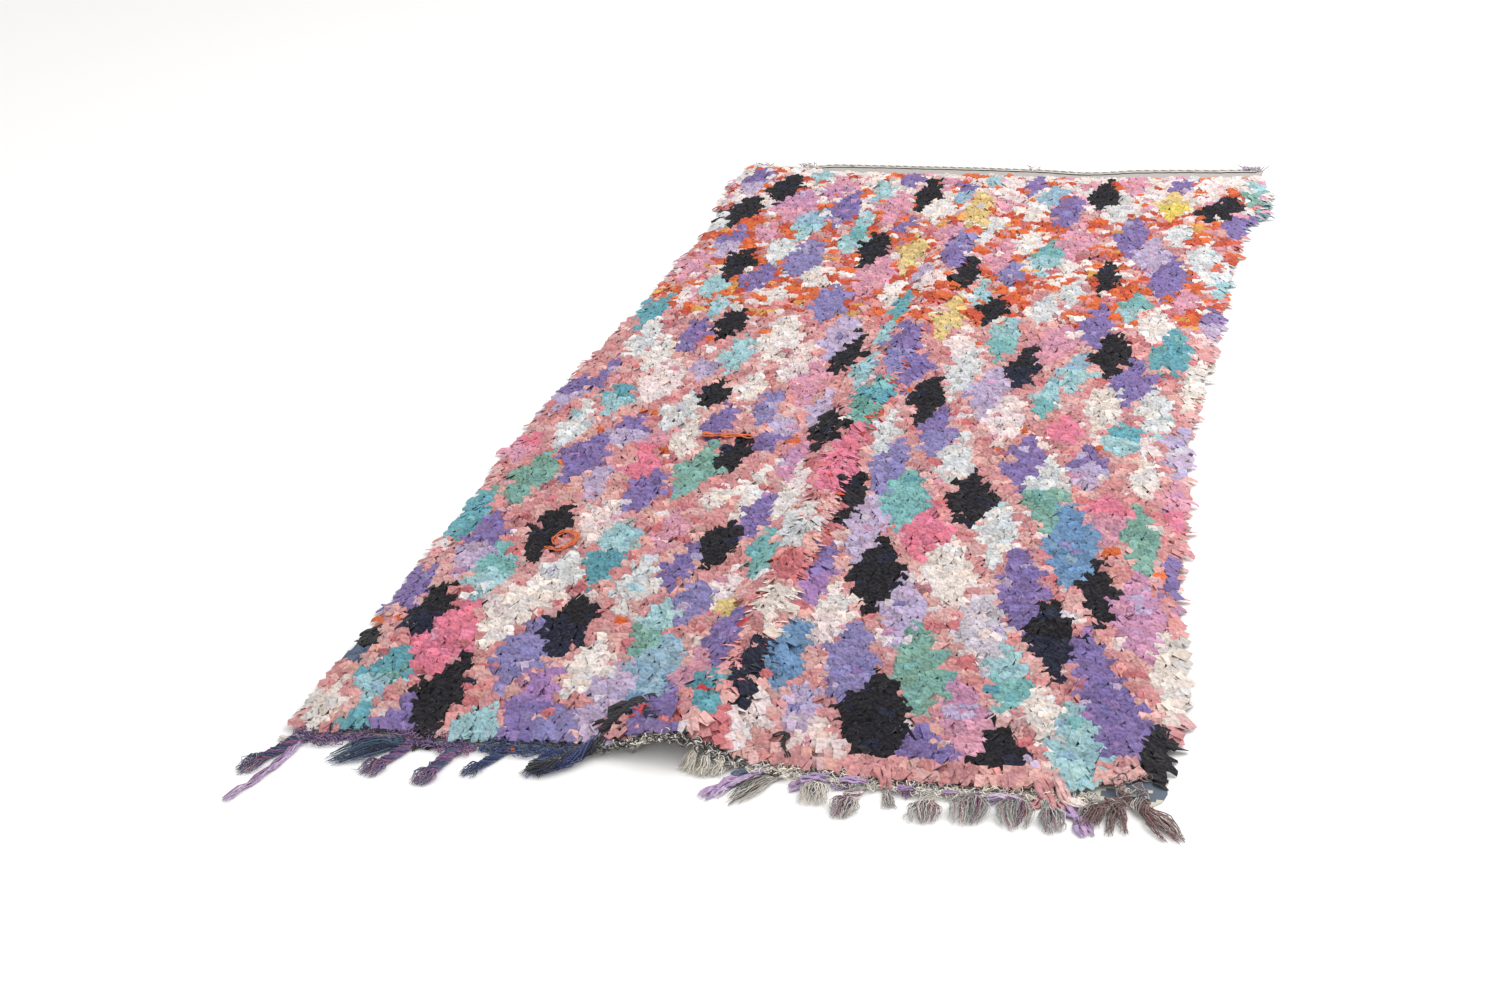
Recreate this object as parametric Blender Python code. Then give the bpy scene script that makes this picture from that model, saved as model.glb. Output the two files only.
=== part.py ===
"""Boucherouite rug: knotted rag pile on a ground weave, lying flat with one old lengthwise fold.

Metres, +Z up. The origin is on the floor under the middle of the rug, fringe included. +Y runs along
the rug to its flat-woven end, and the tasselled end is towards -Y.
"""

import math
import random
from collections import namedtuple

import bmesh
import bpy
from mathutils import Vector

# Driving dimensions
PILE = 0.021            # rag pile with the ground weave under it
PILE_LUMP = 0.005       # how far the pile rises and falls about that
PILE_STRAY = 0.006      # how far a lump strays from its row
RIM = 0.011             # pile height at the very edge
BAND = 0.005            # flat-woven end band
BAND_CORD = 0.008       # rolled cord along the end of the band
LOCK = 0.020            # reach of the rag locks past the rim
LOCK_TIP = 0.0045       # height of a lock at its tip
CREST_LOCK = 0.015      # height of the locks that stand open along the fold
CLEAR = 0.00035         # gap between the cloth's edge and a fringe strip, along Y
STRIP_HEIGHT = 0.008    # knotted warp ends, fused into a narrow strip
NECK_HEIGHT = 0.009     # of a tassel's twisted neck
FLARE = 0.2             # how much wider a fan of strands spreads at each step
HANG = 1.2              # steepest fall of a strand from the raised edge, down for along
STRAND_HEIGHTS = (0.0065, 0.005, 0.003)   # of a strand at a third, two thirds and its tip

# How the locks vary: shares of their full size, taken at random between two limits
LOCK_REACH = (0.35, 1.0)
LOCK_LEAN = (-0.35, 0.35)       # sideways, as a share of the reach
LOCK_DROOP = (0.55, 0.8)        # height of the tip, as a share of the root's
LOCK_TAPER = 0.35
CREST_REACH = (0.5, 1.0)
CREST_LEAN_X = (-0.012, 0.006)
CREST_LEAN_Y = (-0.004, 0.008)
CREST_TAPER = 0.3
STRAND_REACH = (0.82, 1.0)
STRAND_TAPER = 0.92             # width kept at each step
STRAND_TIP = 0.55               # width kept at the tip
RIM_FILL = 0.8                  # share of the rim's faces that carry a lock
CREST_FILL = 0.7

# Steps of the slab's grid
PILE_ROWS = 52
BAND_ROWS = 3
FLAT_COLUMNS = 9        # on each side of the fold
FLANK_COLUMNS = 4       # on each flank of the fold
CREST_COLUMN = FLAT_COLUMNS + FLANK_COLUMNS
COLUMNS = 2 * CREST_COLUMN
CORNER_COLUMNS = 2      # of the far left corner, where the pile runs to the end of the rug

# What counts as an upright face of the rim, by its normal
UPRIGHT = 0.1
SIDEWAYS = 0.6

# The long sides: where the slab's edge lies at each station along the rug
Side = namedtuple("Side", "y left right")
SIDES = [
    Side(-1.18, -0.612, 0.612),
    Side(-1.01, -0.612, 0.628),
    Side(-0.86, -0.602, 0.614),
    Side(-0.72, -0.612, 0.588),
    Side(-0.53, -0.614, 0.584),
    Side(-0.31, -0.626, 0.571),
    Side(-0.08, -0.628, 0.564),
    Side(0.14, -0.613, 0.575),
    Side(0.39, -0.598, 0.583),
    Side(0.59, -0.597, 0.586),
    Side(0.86, -0.589, 0.597),
    Side(1.04, -0.622, 0.614),
    Side(1.14, -0.633, 0.636),
    Side(1.30, -0.624, 0.636),
]

# The ends: the tasselled edge, the far end of the pile, and the far edge of the flat-woven band
End = namedtuple("End", "x near pile band")
ENDS = [
    End(-0.605, -1.200, 1.272, 1.290),
    End(-0.485, -1.176, 1.250, 1.296),
    End(-0.450, -1.174, 1.236, 1.328),
    End(-0.365, -1.178, 1.230, 1.328),
    End(-0.215, -1.160, 1.228, 1.327),
    End(-0.075, -1.148, 1.226, 1.326),
    End(0.095, -1.150, 1.224, 1.320),
    End(0.240, -1.156, 1.220, 1.302),
    End(0.320, -1.155, 1.228, 1.330),
    End(0.485, -1.140, 1.240, 1.340),
    End(0.630, -1.120, 1.260, 1.350),
]

# The old fold: where its crest runs, how high the cloth lifts, and how wide each flank is
Fold = namedtuple("Fold", "y crest lift left right")
FOLDS = [
    Fold(-1.16, -0.030, 0.035, 0.150, 0.095),
    Fold(-0.99, 0.010, 0.027, 0.120, 0.080),
    Fold(-0.79, 0.008, 0.021, 0.095, 0.075),
    Fold(-0.56, 0.003, 0.017, 0.085, 0.070),
    Fold(-0.24, -0.014, 0.015, 0.080, 0.070),
    Fold(0.21, -0.002, 0.014, 0.080, 0.070),
    Fold(0.50, 0.011, 0.015, 0.080, 0.070),
    Fold(0.80, 0.015, 0.013, 0.075, 0.070),
    Fold(1.02, 0.017, 0.010, 0.075, 0.070),
    Fold(1.22, 0.018, 0.004, 0.070, 0.070),
    Fold(1.30, 0.018, 0.000, 0.070, 0.070),
]

# Long loose ends among the rim's locks: the side, the station along it and how far each reaches
LooseEnd = namedtuple("LooseEnd", "side y reach")
LOOSE_SPAN = 0.013      # half the length of rim that a loose end may grow from
LOOSE_ENDS = [
    LooseEnd("left", -0.720, 0.046),
    LooseEnd("left", 1.180, 0.030),
    LooseEnd("right", 1.120, 0.030),
    LooseEnd("right", 1.060, 0.036),
]

# Tassels, each from a root on the near edge. heading is in degrees from straight out, positive to the
# right. neck is the length before the strands part, as wide as given at its root and knot times wider
# at its end. The strands are `length` long and fan out by that many degrees each way. A rag strip is
# a tassel of one strand.
Tassel = namedtuple("Tassel", "x heading neck width knot strands length fan")
LEFT_PLUM = [
    Tassel(-0.600, -28, 0.058, 0.012, 1.5, 4, 0.042, 6),
    Tassel(-0.576, -14, 0.036, 0.012, 1.3, 1, 0.112, 0),
    Tassel(-0.456, -48, 0.026, 0.018, 1.1, 6, 0.086, 5),
    Tassel(-0.430, -26, 0.056, 0.014, 1.6, 4, 0.026, 8),
    Tassel(-0.362, -12, 0.054, 0.014, 1.5, 4, 0.026, 8),
]
LEFT_NAVY = [
    Tassel(-0.284, -28, 0.046, 0.013, 1.3, 4, 0.026, 7),
    Tassel(-0.220, -4, 0.028, 0.013, 1.2, 4, 0.026, 12),
]
MIDDLE_CREAM = [
    Tassel(-0.078, -12, 0.005, 0.011, 1.0, 3, 0.012, 14),
    Tassel(-0.050, -4, 0.005, 0.012, 1.0, 3, 0.013, 12),
    Tassel(-0.026, -8, 0.005, 0.011, 1.0, 3, 0.012, 12),
    Tassel(0.053, -66, 0.024, 0.012, 1.1, 5, 0.046, 5),
]
RIGHT_GREY = [
    Tassel(0.090, -42, 0.020, 0.012, 1.4, 1, 0.072, 0),
    Tassel(0.115, -38, 0.018, 0.014, 1.1, 6, 0.074, 4),
    Tassel(0.143, -24, 0.008, 0.012, 1.2, 1, 0.020, 0),
    Tassel(0.169, 8, 0.016, 0.018, 1.1, 7, 0.042, 14),
    Tassel(0.230, -11, 0.042, 0.016, 1.3, 7, 0.036, 12),
    Tassel(0.268, 14, 0.010, 0.011, 1.0, 3, 0.040, 5),
    Tassel(0.324, 5, 0.026, 0.018, 1.1, 7, 0.042, 12),
    Tassel(0.384, 8, 0.012, 0.022, 1.1, 8, 0.052, 17),
    Tassel(0.441, 10, 0.012, 0.020, 1.1, 8, 0.058, 14),
    Tassel(0.480, 16, 0.022, 0.016, 1.1, 6, 0.048, 9),
    Tassel(0.510, 25, 0.010, 0.012, 1.2, 1, 0.044, 0),
    Tassel(0.542, 22, 0.008, 0.010, 1.0, 4, 0.028, 8),
]
RIGHT_PLUM = [
    Tassel(0.566, 14, 0.022, 0.016, 1.1, 6, 0.046, 9),
    Tassel(0.596, 40, 0.034, 0.018, 1.1, 7, 0.056, 5),
]

# Each fringe strip: its node, the slab's near columns that it runs between, its width and its tassels
Fringe = namedtuple("Fringe", "node first last width tassels colour")
FRINGES = [
    Fringe("fringe_left_plum", 0, 6, 0.014, LEFT_PLUM, (0.082, 0.048, 0.112)),
    Fringe("fringe_left_navy", 6, 9, 0.014, LEFT_NAVY, (0.026, 0.036, 0.117)),
    Fringe("fringe_middle_cream", 9, 17, 0.007, MIDDLE_CREAM, (0.552, 0.500, 0.420)),
    Fringe("fringe_right_grey", 17, 25, 0.013, RIGHT_GREY, (0.275, 0.254, 0.231)),
    Fringe("fringe_right_plum", 25, 26, 0.013, RIGHT_PLUM, (0.195, 0.089, 0.138)),
]
STRIP_PART = 0.0004     # half the gap between two neighbouring strips
NECK_STEPS = 3
FIRST_SEED = 100        # of the fringes' random lengths


def clear_scene():
    for item in list(bpy.data.objects):
        bpy.data.objects.remove(item, do_unlink=True)


def read(table, key, column, at):
    """A column's value at a place between two rows of a table, eased from row to row."""
    for low, high in zip(table, table[1:]):
        if at <= getattr(high, key):
            break
    span = getattr(high, key) - getattr(low, key)
    share = min(1.0, max(0.0, (at - getattr(low, key)) / span))
    ease = share * share * (3.0 - 2.0 * share)
    return getattr(low, column) + (getattr(high, column) - getattr(low, column)) * ease


def lift(x, y):
    """How high the cloth's underside stands off the floor: a soft arch along the fold."""
    off = x - read(FOLDS, "y", "crest", y)
    reach = read(FOLDS, "y", "right" if off > 0 else "left", y)
    if abs(off) >= reach:
        return 0.0
    return read(FOLDS, "y", "lift", y) * 0.5 * (1.0 + math.cos(math.pi * off / reach))


def column_x(column, y):
    """Where a column of the grid crosses a station: even over the flats, closer over the fold."""
    left = read(SIDES, "y", "left", y)
    right = read(SIDES, "y", "right", y)
    crest = read(FOLDS, "y", "crest", y)
    foot_left = crest - read(FOLDS, "y", "left", y)
    foot_right = crest + read(FOLDS, "y", "right", y)
    if column <= FLAT_COLUMNS:
        return left + (foot_left - left) * column / FLAT_COLUMNS
    if column <= CREST_COLUMN:
        return foot_left + (crest - foot_left) * (column - FLAT_COLUMNS) / FLANK_COLUMNS
    if column <= CREST_COLUMN + FLANK_COLUMNS:
        return crest + (foot_right - crest) * (column - CREST_COLUMN) / FLANK_COLUMNS
    return foot_right + (right - foot_right) * (column - CREST_COLUMN - FLANK_COLUMNS) / FLAT_COLUMNS


def grid_place(row, column):
    """Plan position of a grid point: pile rows first, then the rows of the flat-woven band."""
    share = min(1.0, row / PILE_ROWS)
    x = column_x(column, ENDS[0].near + (ENDS[0].pile - ENDS[0].near) * share)
    near = read(ENDS, "x", "near", x)
    pile = read(ENDS, "x", "pile", x)
    band = read(ENDS, "x", "band", x)
    if row <= PILE_ROWS:
        return x, near + (pile - near) * share
    return x, pile + (band - pile) * (row - PILE_ROWS) / BAND_ROWS


def near_point(column):
    """Underside of the cloth's near edge at a column."""
    x, y = grid_place(0, column)
    return Vector((x, y, lift(x, y)))


def face_centre(face):
    return face.calc_center_median()


def across(heading):
    """Level direction across a strand whose heading is in radians from -Y, positive towards +X."""
    return Vector((math.cos(heading), math.sin(heading), 0.0))


def ahead(heading):
    return Vector((math.sin(heading), -math.cos(heading), 0.0))


def grow(bm, face, centre, turn, wide, high):
    """Extrude a four-sided face to a new centre.

    It is turned about the vertical, made `wide` times as wide, and its new height is `high`, level.
    """
    start = face_centre(face)
    level = Vector((-face.normal.y, face.normal.x, 0.0)).normalized()
    base = math.atan2(level.y, level.x)
    new = bmesh.ops.extrude_discrete_faces(bm, faces=[face])["faces"][0]
    side = Vector((math.cos(base + turn), math.sin(base + turn), 0.0))
    spread = {vert: (vert.co - start).dot(level) for vert in new.verts}
    for near_left in (True, False):
        pair = sorted((v for v in new.verts if (spread[v] < 0.0) == near_left), key=lambda v: v.co.z)
        for vert, share in zip(pair, (-0.5, 0.5)):
            vert.co = centre + side * spread[vert] * wide + Vector((0.0, 0.0, share * high))
    new.normal_update()
    return new


def material(name, colour, roughness):
    found = bpy.data.materials.new(name)
    found.use_nodes = True
    shader = found.node_tree.nodes["Principled BSDF"]
    shader.inputs["Base Color"].default_value = (*colour, 1.0)
    shader.inputs["Roughness"].default_value = roughness
    shader.inputs["Metallic"].default_value = 0.0
    found.diffuse_color = (*colour, 1.0)
    return found


def add_object(name, bm, colour):
    bmesh.ops.recalc_face_normals(bm, faces=bm.faces)
    mesh = bpy.data.meshes.new(name)
    bm.to_mesh(mesh)
    bm.free()
    mesh.materials.append(material(name + "_wool", colour, 0.9))
    item = bpy.data.objects.new(name, mesh)
    bpy.context.scene.collection.objects.link(item)
    return item


def pile_top(row, column, x, y, rng):
    """Upper face of the cloth: lumpy pile, low at the rim, and a thin band at the far end."""
    base = lift(x, y)
    if row >= PILE_ROWS + BAND_ROWS:
        return base + BAND_CORD
    if row > PILE_ROWS:
        return base + BAND
    if column in (0, COLUMNS) or row in (0, PILE_ROWS):
        return base + RIM
    return base + PILE + rng.uniform(-PILE_LUMP, PILE_LUMP)


def ring(rows, columns):
    """Grid indices round the cloth's edge, in order."""
    loop = [(0, c) for c in range(columns)]
    loop += [(r, columns) for r in range(rows)]
    loop += [(rows, columns - c) for c in range(columns)]
    loop += [(rows - r, 0) for r in range(rows)]
    return loop


def on_rim(face):
    """Is this an upright face of a long side's rim, or of the far left corner's?"""
    if len(face.verts) != 4 or abs(face.normal.z) > UPRIGHT:
        return False
    centre = face_centre(face)
    if face.normal.y > SIDEWAYS:
        return centre.x < ENDS[1].x
    return abs(face.normal.x) > SIDEWAYS and centre.y < ENDS[-1].pile


def rim_locks(bm, faces, rng):
    """Draw the rim's faces out into tapered rag locks that droop to the floor."""
    for face in faces:
        centre = face_centre(face)
        normal = face.normal.copy()
        side = "left" if normal.x < 0.0 else "right"
        reach = LOCK * rng.uniform(*LOCK_REACH)
        for loose in LOOSE_ENDS:
            if loose.side == side and abs(centre.y - loose.y) < LOOSE_SPAN:
                reach = loose.reach
        along = Vector((-normal.y, normal.x, 0.0))
        tip = centre + (normal + along * rng.uniform(*LOCK_LEAN)) * reach
        tip.z = centre.z * rng.uniform(*LOCK_DROOP)
        grow(bm, face, tip, 0.0, LOCK_TAPER, LOCK_TIP)


def crest_locks(bm, faces, rng):
    """Stand the pile open along the crest of the fold in short leaning locks."""
    for face in faces:
        centre = face_centre(face)
        new = bmesh.ops.extrude_discrete_faces(bm, faces=[face])["faces"][0]
        rise = CREST_LOCK * rng.uniform(*CREST_REACH)
        lean = Vector((rng.uniform(*CREST_LEAN_X), rng.uniform(*CREST_LEAN_Y), rise))
        for vert in new.verts:
            vert.co = centre + (vert.co - centre) * CREST_TAPER + lean


def level_edges(faces):
    """The upper and lower edges of the rim's upright faces."""
    edges = {edge for face in faces for edge in face.edges}
    return [edge for edge in edges if abs(edge.verts[0].co.z - edge.verts[1].co.z) < RIM / 2]


def build_cloth():
    """The rag-pile cloth: one closed slab that follows the fold, with locks at its rim and crest."""
    rng = random.Random(41)
    bm = bmesh.new()
    rows = PILE_ROWS + BAND_ROWS
    under = {}
    top = {}
    for row in range(rows + 1):
        for column in range(COLUMNS + 1):
            x, y = grid_place(row, column)
            under[row, column] = bm.verts.new((x, y, lift(x, y)))
            if 0 < column < COLUMNS and 0 < row < PILE_ROWS:
                x += rng.uniform(-PILE_STRAY, PILE_STRAY)
                y += rng.uniform(-PILE_STRAY, PILE_STRAY)
            top[row, column] = bm.verts.new((x, y, pile_top(row, column, x, y, rng)))
    crest = []
    for row in range(rows):
        for column in range(COLUMNS):
            cell = [(row, column), (row, column + 1), (row + 1, column + 1), (row + 1, column)]
            bm.faces.new([under[key] for key in reversed(cell)])
            face = bm.faces.new([top[key] for key in cell])
            if row < PILE_ROWS - 1 and column in (CREST_COLUMN - 1, CREST_COLUMN):
                crest.append(face)
    loop = ring(rows, COLUMNS)
    rim = []
    for key, after in zip(loop, loop[1:] + loop[:1]):
        face = bm.faces.new([under[key], under[after], top[after], top[key]])
        on_side = key[1] == after[1] and max(key[0], after[0]) <= PILE_ROWS
        on_corner = key[0] == after[0] == rows and max(key[1], after[1]) <= CORNER_COLUMNS
        if on_side or on_corner:
            rim.append(face)
    bm.normal_update()
    bmesh.ops.subdivide_edges(bm, edges=level_edges(rim), cuts=1, use_grid_fill=True)
    bm.normal_update()
    rim_locks(bm, [face for face in bm.faces if on_rim(face) and rng.random() < RIM_FILL], rng)
    crest_locks(bm, [face for face in crest if face.is_valid and rng.random() < CREST_FILL], rng)
    return add_object("rag_pile_rug", bm, (0.600, 0.270, 0.290))


def root_place(tassel, points):
    """Middle of a tassel's root, moved aside where it would straddle one of the slab's edge points."""
    half = tassel.width / 2
    for point in points:
        off = tassel.x - point.x
        if abs(off) < half:
            return point.x + math.copysign(half + STRIP_PART, off)
    return tassel.x


def strip_stations(fringe, points):
    """Where the strip is cut across: the slab's own edge points and both sides of each root."""
    cuts = [points[0].x + STRIP_PART, points[-1].x - STRIP_PART]
    cuts += [point.x for point in points[1:-1]]
    for tassel in fringe.tassels:
        middle = root_place(tassel, points)
        cuts += [middle - tassel.width / 2, middle + tassel.width / 2]
    return sorted(cuts)


def edge_at(points, x):
    """A point on the straight runs between the slab's edge points."""
    for low, high in zip(points, points[1:]):
        if x <= high.x:
            break
    return low.lerp(high, (x - low.x) / (high.x - low.x))


def build_strip(bm, fringe):
    """The strip of knotted warp ends, and the outer face that each tassel grows from."""
    points = [near_point(column) for column in range(fringe.first, fringe.last + 1)]
    cuts = strip_stations(fringe, points)
    rungs = []
    for x in cuts:
        base = edge_at(points, x)
        inner = base.y - CLEAR
        outer = inner - fringe.width
        corners = [
            (x, inner, base.z),
            (x, outer, base.z),
            (x, outer, base.z + STRIP_HEIGHT),
            (x, inner, base.z + STRIP_HEIGHT),
        ]
        rungs.append([bm.verts.new(corner) for corner in corners])
    outer_faces = {}
    for (x_low, low), (x_high, high) in zip(zip(cuts, rungs), zip(cuts[1:], rungs[1:])):
        for side in range(4):
            after = (side + 1) % 4
            face = bm.faces.new([low[side], low[after], high[after], high[side]])
            if side == 1:
                outer_faces[(x_low + x_high) / 2] = face
    bm.faces.new(list(reversed(rungs[0])))
    bm.faces.new(rungs[-1])
    bmesh.ops.recalc_face_normals(bm, faces=bm.faces)
    roots = []
    for tassel in fringe.tassels:
        middle = root_place(tassel, points)
        roots.append(outer_faces[min(outer_faces, key=lambda x: abs(x - middle))])
    return roots


def build_neck(bm, root, tassel):
    """The twisted or knotted neck of a tassel, drawn out of the strip and down to the floor."""
    heading = math.radians(tassel.heading)
    start = face_centre(root)
    face = root
    for step in range(1, NECK_STEPS + 1):
        share = step / NECK_STEPS
        centre = start + ahead(heading * (1.0 + share) / 2) * tassel.neck * share
        centre.z = max(NECK_HEIGHT / 2, start.z - HANG * tassel.neck * share)
        face = grow(bm, face, centre, heading / NECK_STEPS, tassel.knot ** (1.0 / NECK_STEPS), NECK_HEIGHT)
    return face


def part_strands(bm, face, tassel):
    """Cut the end of a neck into one cell for each strand, from left to right."""
    if tassel.strands == 1:
        return [face]
    side = across(math.radians(tassel.heading))
    level = [edge for edge in face.edges if abs((edge.verts[0].co - edge.verts[1].co).dot(side)) > CLEAR]
    rest = set(bm.faces) - {face}
    bmesh.ops.subdivide_edges(bm, edges=level, cuts=tassel.strands - 1, use_grid_fill=True)
    bm.normal_update()
    out = ahead(math.radians(tassel.heading))
    cells = [item for item in bm.faces if item not in rest and item.normal.dot(out) > SIDEWAYS]
    return sorted(cells, key=lambda item: face_centre(item).dot(side))


def build_strand(bm, cell, heading, spread, length):
    """One strand of yarn or one rag strip, thinner from step to step and level on the floor."""
    centre = face_centre(cell)
    height = centre.z
    steps = len(STRAND_HEIGHTS)
    for step, high in enumerate(STRAND_HEIGHTS, 1):
        bend = spread * (1.0 + FLARE * (step - 1))
        centre = centre + ahead(heading + bend) * length / steps
        height -= HANG * length / steps
        centre.z = max(high / 2, height)
        keep = STRAND_TIP if step == steps else STRAND_TAPER
        cell = grow(bm, cell, centre, spread / steps, keep, high)


def build_tassel(bm, root, tassel, rng):
    """A neck that parts at its end into strands that fan over the floor."""
    heading = math.radians(tassel.heading)
    cells = part_strands(bm, build_neck(bm, root, tassel), tassel)
    for index, cell in enumerate(cells):
        share = 0.0 if len(cells) == 1 else 2.0 * index / (len(cells) - 1) - 1.0
        length = tassel.length * rng.uniform(*STRAND_REACH)
        build_strand(bm, cell, heading, math.radians(tassel.fan) * share, length)


def build_fringe(fringe, seed):
    rng = random.Random(seed)
    bm = bmesh.new()
    roots = build_strip(bm, fringe)
    for root, tassel in zip(roots, fringe.tassels):
        build_tassel(bm, root, tassel, rng)
    return add_object(fringe.node, bm, fringe.colour)


def main():
    clear_scene()
    build_cloth()
    for index, fringe in enumerate(FRINGES):
        build_fringe(fringe, FIRST_SEED + index)


main()
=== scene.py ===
import math
import random
from collections import namedtuple

import bmesh
import bpy
import numpy as np
from mathutils import Matrix, Vector
from mathutils.bvhtree import BVHTree


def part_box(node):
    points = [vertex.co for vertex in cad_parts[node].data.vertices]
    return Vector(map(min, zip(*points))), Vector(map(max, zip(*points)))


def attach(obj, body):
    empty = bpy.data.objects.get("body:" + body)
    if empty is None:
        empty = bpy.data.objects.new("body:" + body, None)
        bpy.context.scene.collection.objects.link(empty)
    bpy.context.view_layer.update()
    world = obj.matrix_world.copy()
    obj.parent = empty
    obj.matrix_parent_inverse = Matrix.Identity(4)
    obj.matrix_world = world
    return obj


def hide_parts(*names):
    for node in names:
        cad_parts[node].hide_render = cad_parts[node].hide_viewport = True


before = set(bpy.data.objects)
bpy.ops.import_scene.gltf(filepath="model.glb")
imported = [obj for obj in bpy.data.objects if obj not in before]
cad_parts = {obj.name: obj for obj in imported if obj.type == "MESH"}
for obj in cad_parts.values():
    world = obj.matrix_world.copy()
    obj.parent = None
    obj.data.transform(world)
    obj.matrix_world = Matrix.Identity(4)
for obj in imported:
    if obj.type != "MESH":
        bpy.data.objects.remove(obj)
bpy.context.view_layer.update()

# Driving dimensions, in metres
PILE_START = -1.16          # along Y, of the length that the rows of knots share
PILE_LENGTH = 2.42
PILE_WIDTH = 1.22
ROW_PITCH = 0.0155          # between two rows of knots, along the rug
KNOT_PITCH = 0.0148         # between two knots of a row, across the rug
KNOT_STRAY = 0.0030         # how far a knot strays from its place in the row
PILE_HEIGHT = 0.021         # of the solid's pile over its underside, which the knots' shapes are drawn for
PILE_HEIGHTS = (0.014, 0.026)           # least and most, where the solid is lower or higher than that
WEAVE_CLEAR = 0.0006        # of the ground weave over the floor
WEAVE_THICK = 0.0024        # of the ground weave
WEAVE_GRID = (72, 150)      # faces of the ground weave, across and along the rug
WEAVE_ENDS = (-1.15, 1.3)   # along Y; past these the ground weave keeps the height that it has there
FAR_OVERHANG = (0.018, 0.014)           # of the pile over the far band, at its left end and elsewhere
FAR_LEFT = -0.45            # along X, where that left end stops

# Probes that find the cloth's edges, underside and top
SCAN_STEP = 0.001           # between two probes for the cloth's edge
SCAN_STATION = 0.02         # between two places where the edge is probed
SCAN_ALONG = (-1.16, 1.26)
SCAN_ACROSS = (-0.60, 0.601)
SIDE_SEARCH = 0.2           # how far inwards a side edge is looked for
END_SEARCH = 0.4
CREST_SEARCH = (-0.10, 0.08, 0.002)     # from, to and step, along X
PROBE_LOW = -0.1            # height from which a probe looks up
PROBE_HIGH = 0.3
FLAT = 0.0002               # an underside lower than this lies on the floor
PILE_SHOWS = 0.0100         # where the cloth is thicker than this it has pile

# The photograph's view
IMAGE_WIDTH = 1500
FOCAL_PIXELS = 1850
SENSOR = 36.0
CAMERA_PLACE = Vector((0.761, -3.092, 1.546))
CAMERA_TURN = math.radians(18.666)      # to the left of +Y
CAMERA_DIP = math.radians(28.673)       # below the level
CAMERA_ROLL = math.radians(-5.0)

# Floor and light
FLOOR_HALF = 14.0           # half the floor's side
FLOOR_WHITE = "#F6F5F4"
ROOM_LIGHT = 0.93           # strength of the even white light from all round
SOFTBOX_PLACE = Vector((2.2, 0.8, 3.2))
SOFTBOX_SIDE = 4.0
SOFTBOX_POWER = 130.0

# The rags' dyes
DYES = {
    "coral": "#D39393",
    "salmon": "#DFAEA9",
    "rose": "#CB777C",
    "red": "#C2474C",
    "rust": "#C9563C",
    "orange": "#DC6C3B",
    "amber": "#E0A157",
    "charcoal": "#1F1C22",
    "ink": "#222539",
    "violet": "#8673A9",
    "purple": "#AC85BC",
    "periwinkle": "#8F86B6",
    "lilac": "#BFADCA",
    "lavender": "#D2C8D1",
    "orchid": "#C892B2",
    "pink": "#D89BAD",
    "hot_pink": "#E08097",
    "blush": "#ECD9D7",
    "cream": "#EBE0DA",
    "ivory": "#E4D8D0",
    "mist": "#D9D9D9",
    "aqua": "#A4C8CD",
    "turquoise": "#80B4B3",
    "teal": "#69A5B1",
    "mint": "#82AB9F",
    "sea_green": "#72A59C",
    "sky": "#9AB7C9",
    "blue": "#6F91B6",
    "yellow": "#DDC386",
    "lemon": "#E2CB66",
    "plum": "#74608A",
    "aubergine": "#514266",
    "mulberry": "#946580",
    "wine": "#84605F",
    "umber": "#55433F",
    "navy": "#3B4776",
    "midnight": "#282D50",
    "slate": "#56667E",
    "petrol": "#4A6078",
    "taupe": "#B0AAA3",
    "stone": "#D2CCC3",
    "sage": "#94A69D",
    "ash": "#918C89",
    "wool_white": "#E6DFD3",
    "soot": "#2A2826",
    "lilac_cloth": "#B498C0",
    "pale_lilac": "#CDB7D2",
    "mauve": "#9E7DA6",
}

# The wool of the ground weave, painted darker between its ribs as painted shade and paler on them, and of
# the bare corner
WEAVE_GROOVE_PAINTED_SHADE = "#857F7D"
WEAVE_PALE = "#CDC7C2"
CORNER_BLUE = "#6B7482"
CORNER_CREAM = "#D9D4C8"

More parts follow.
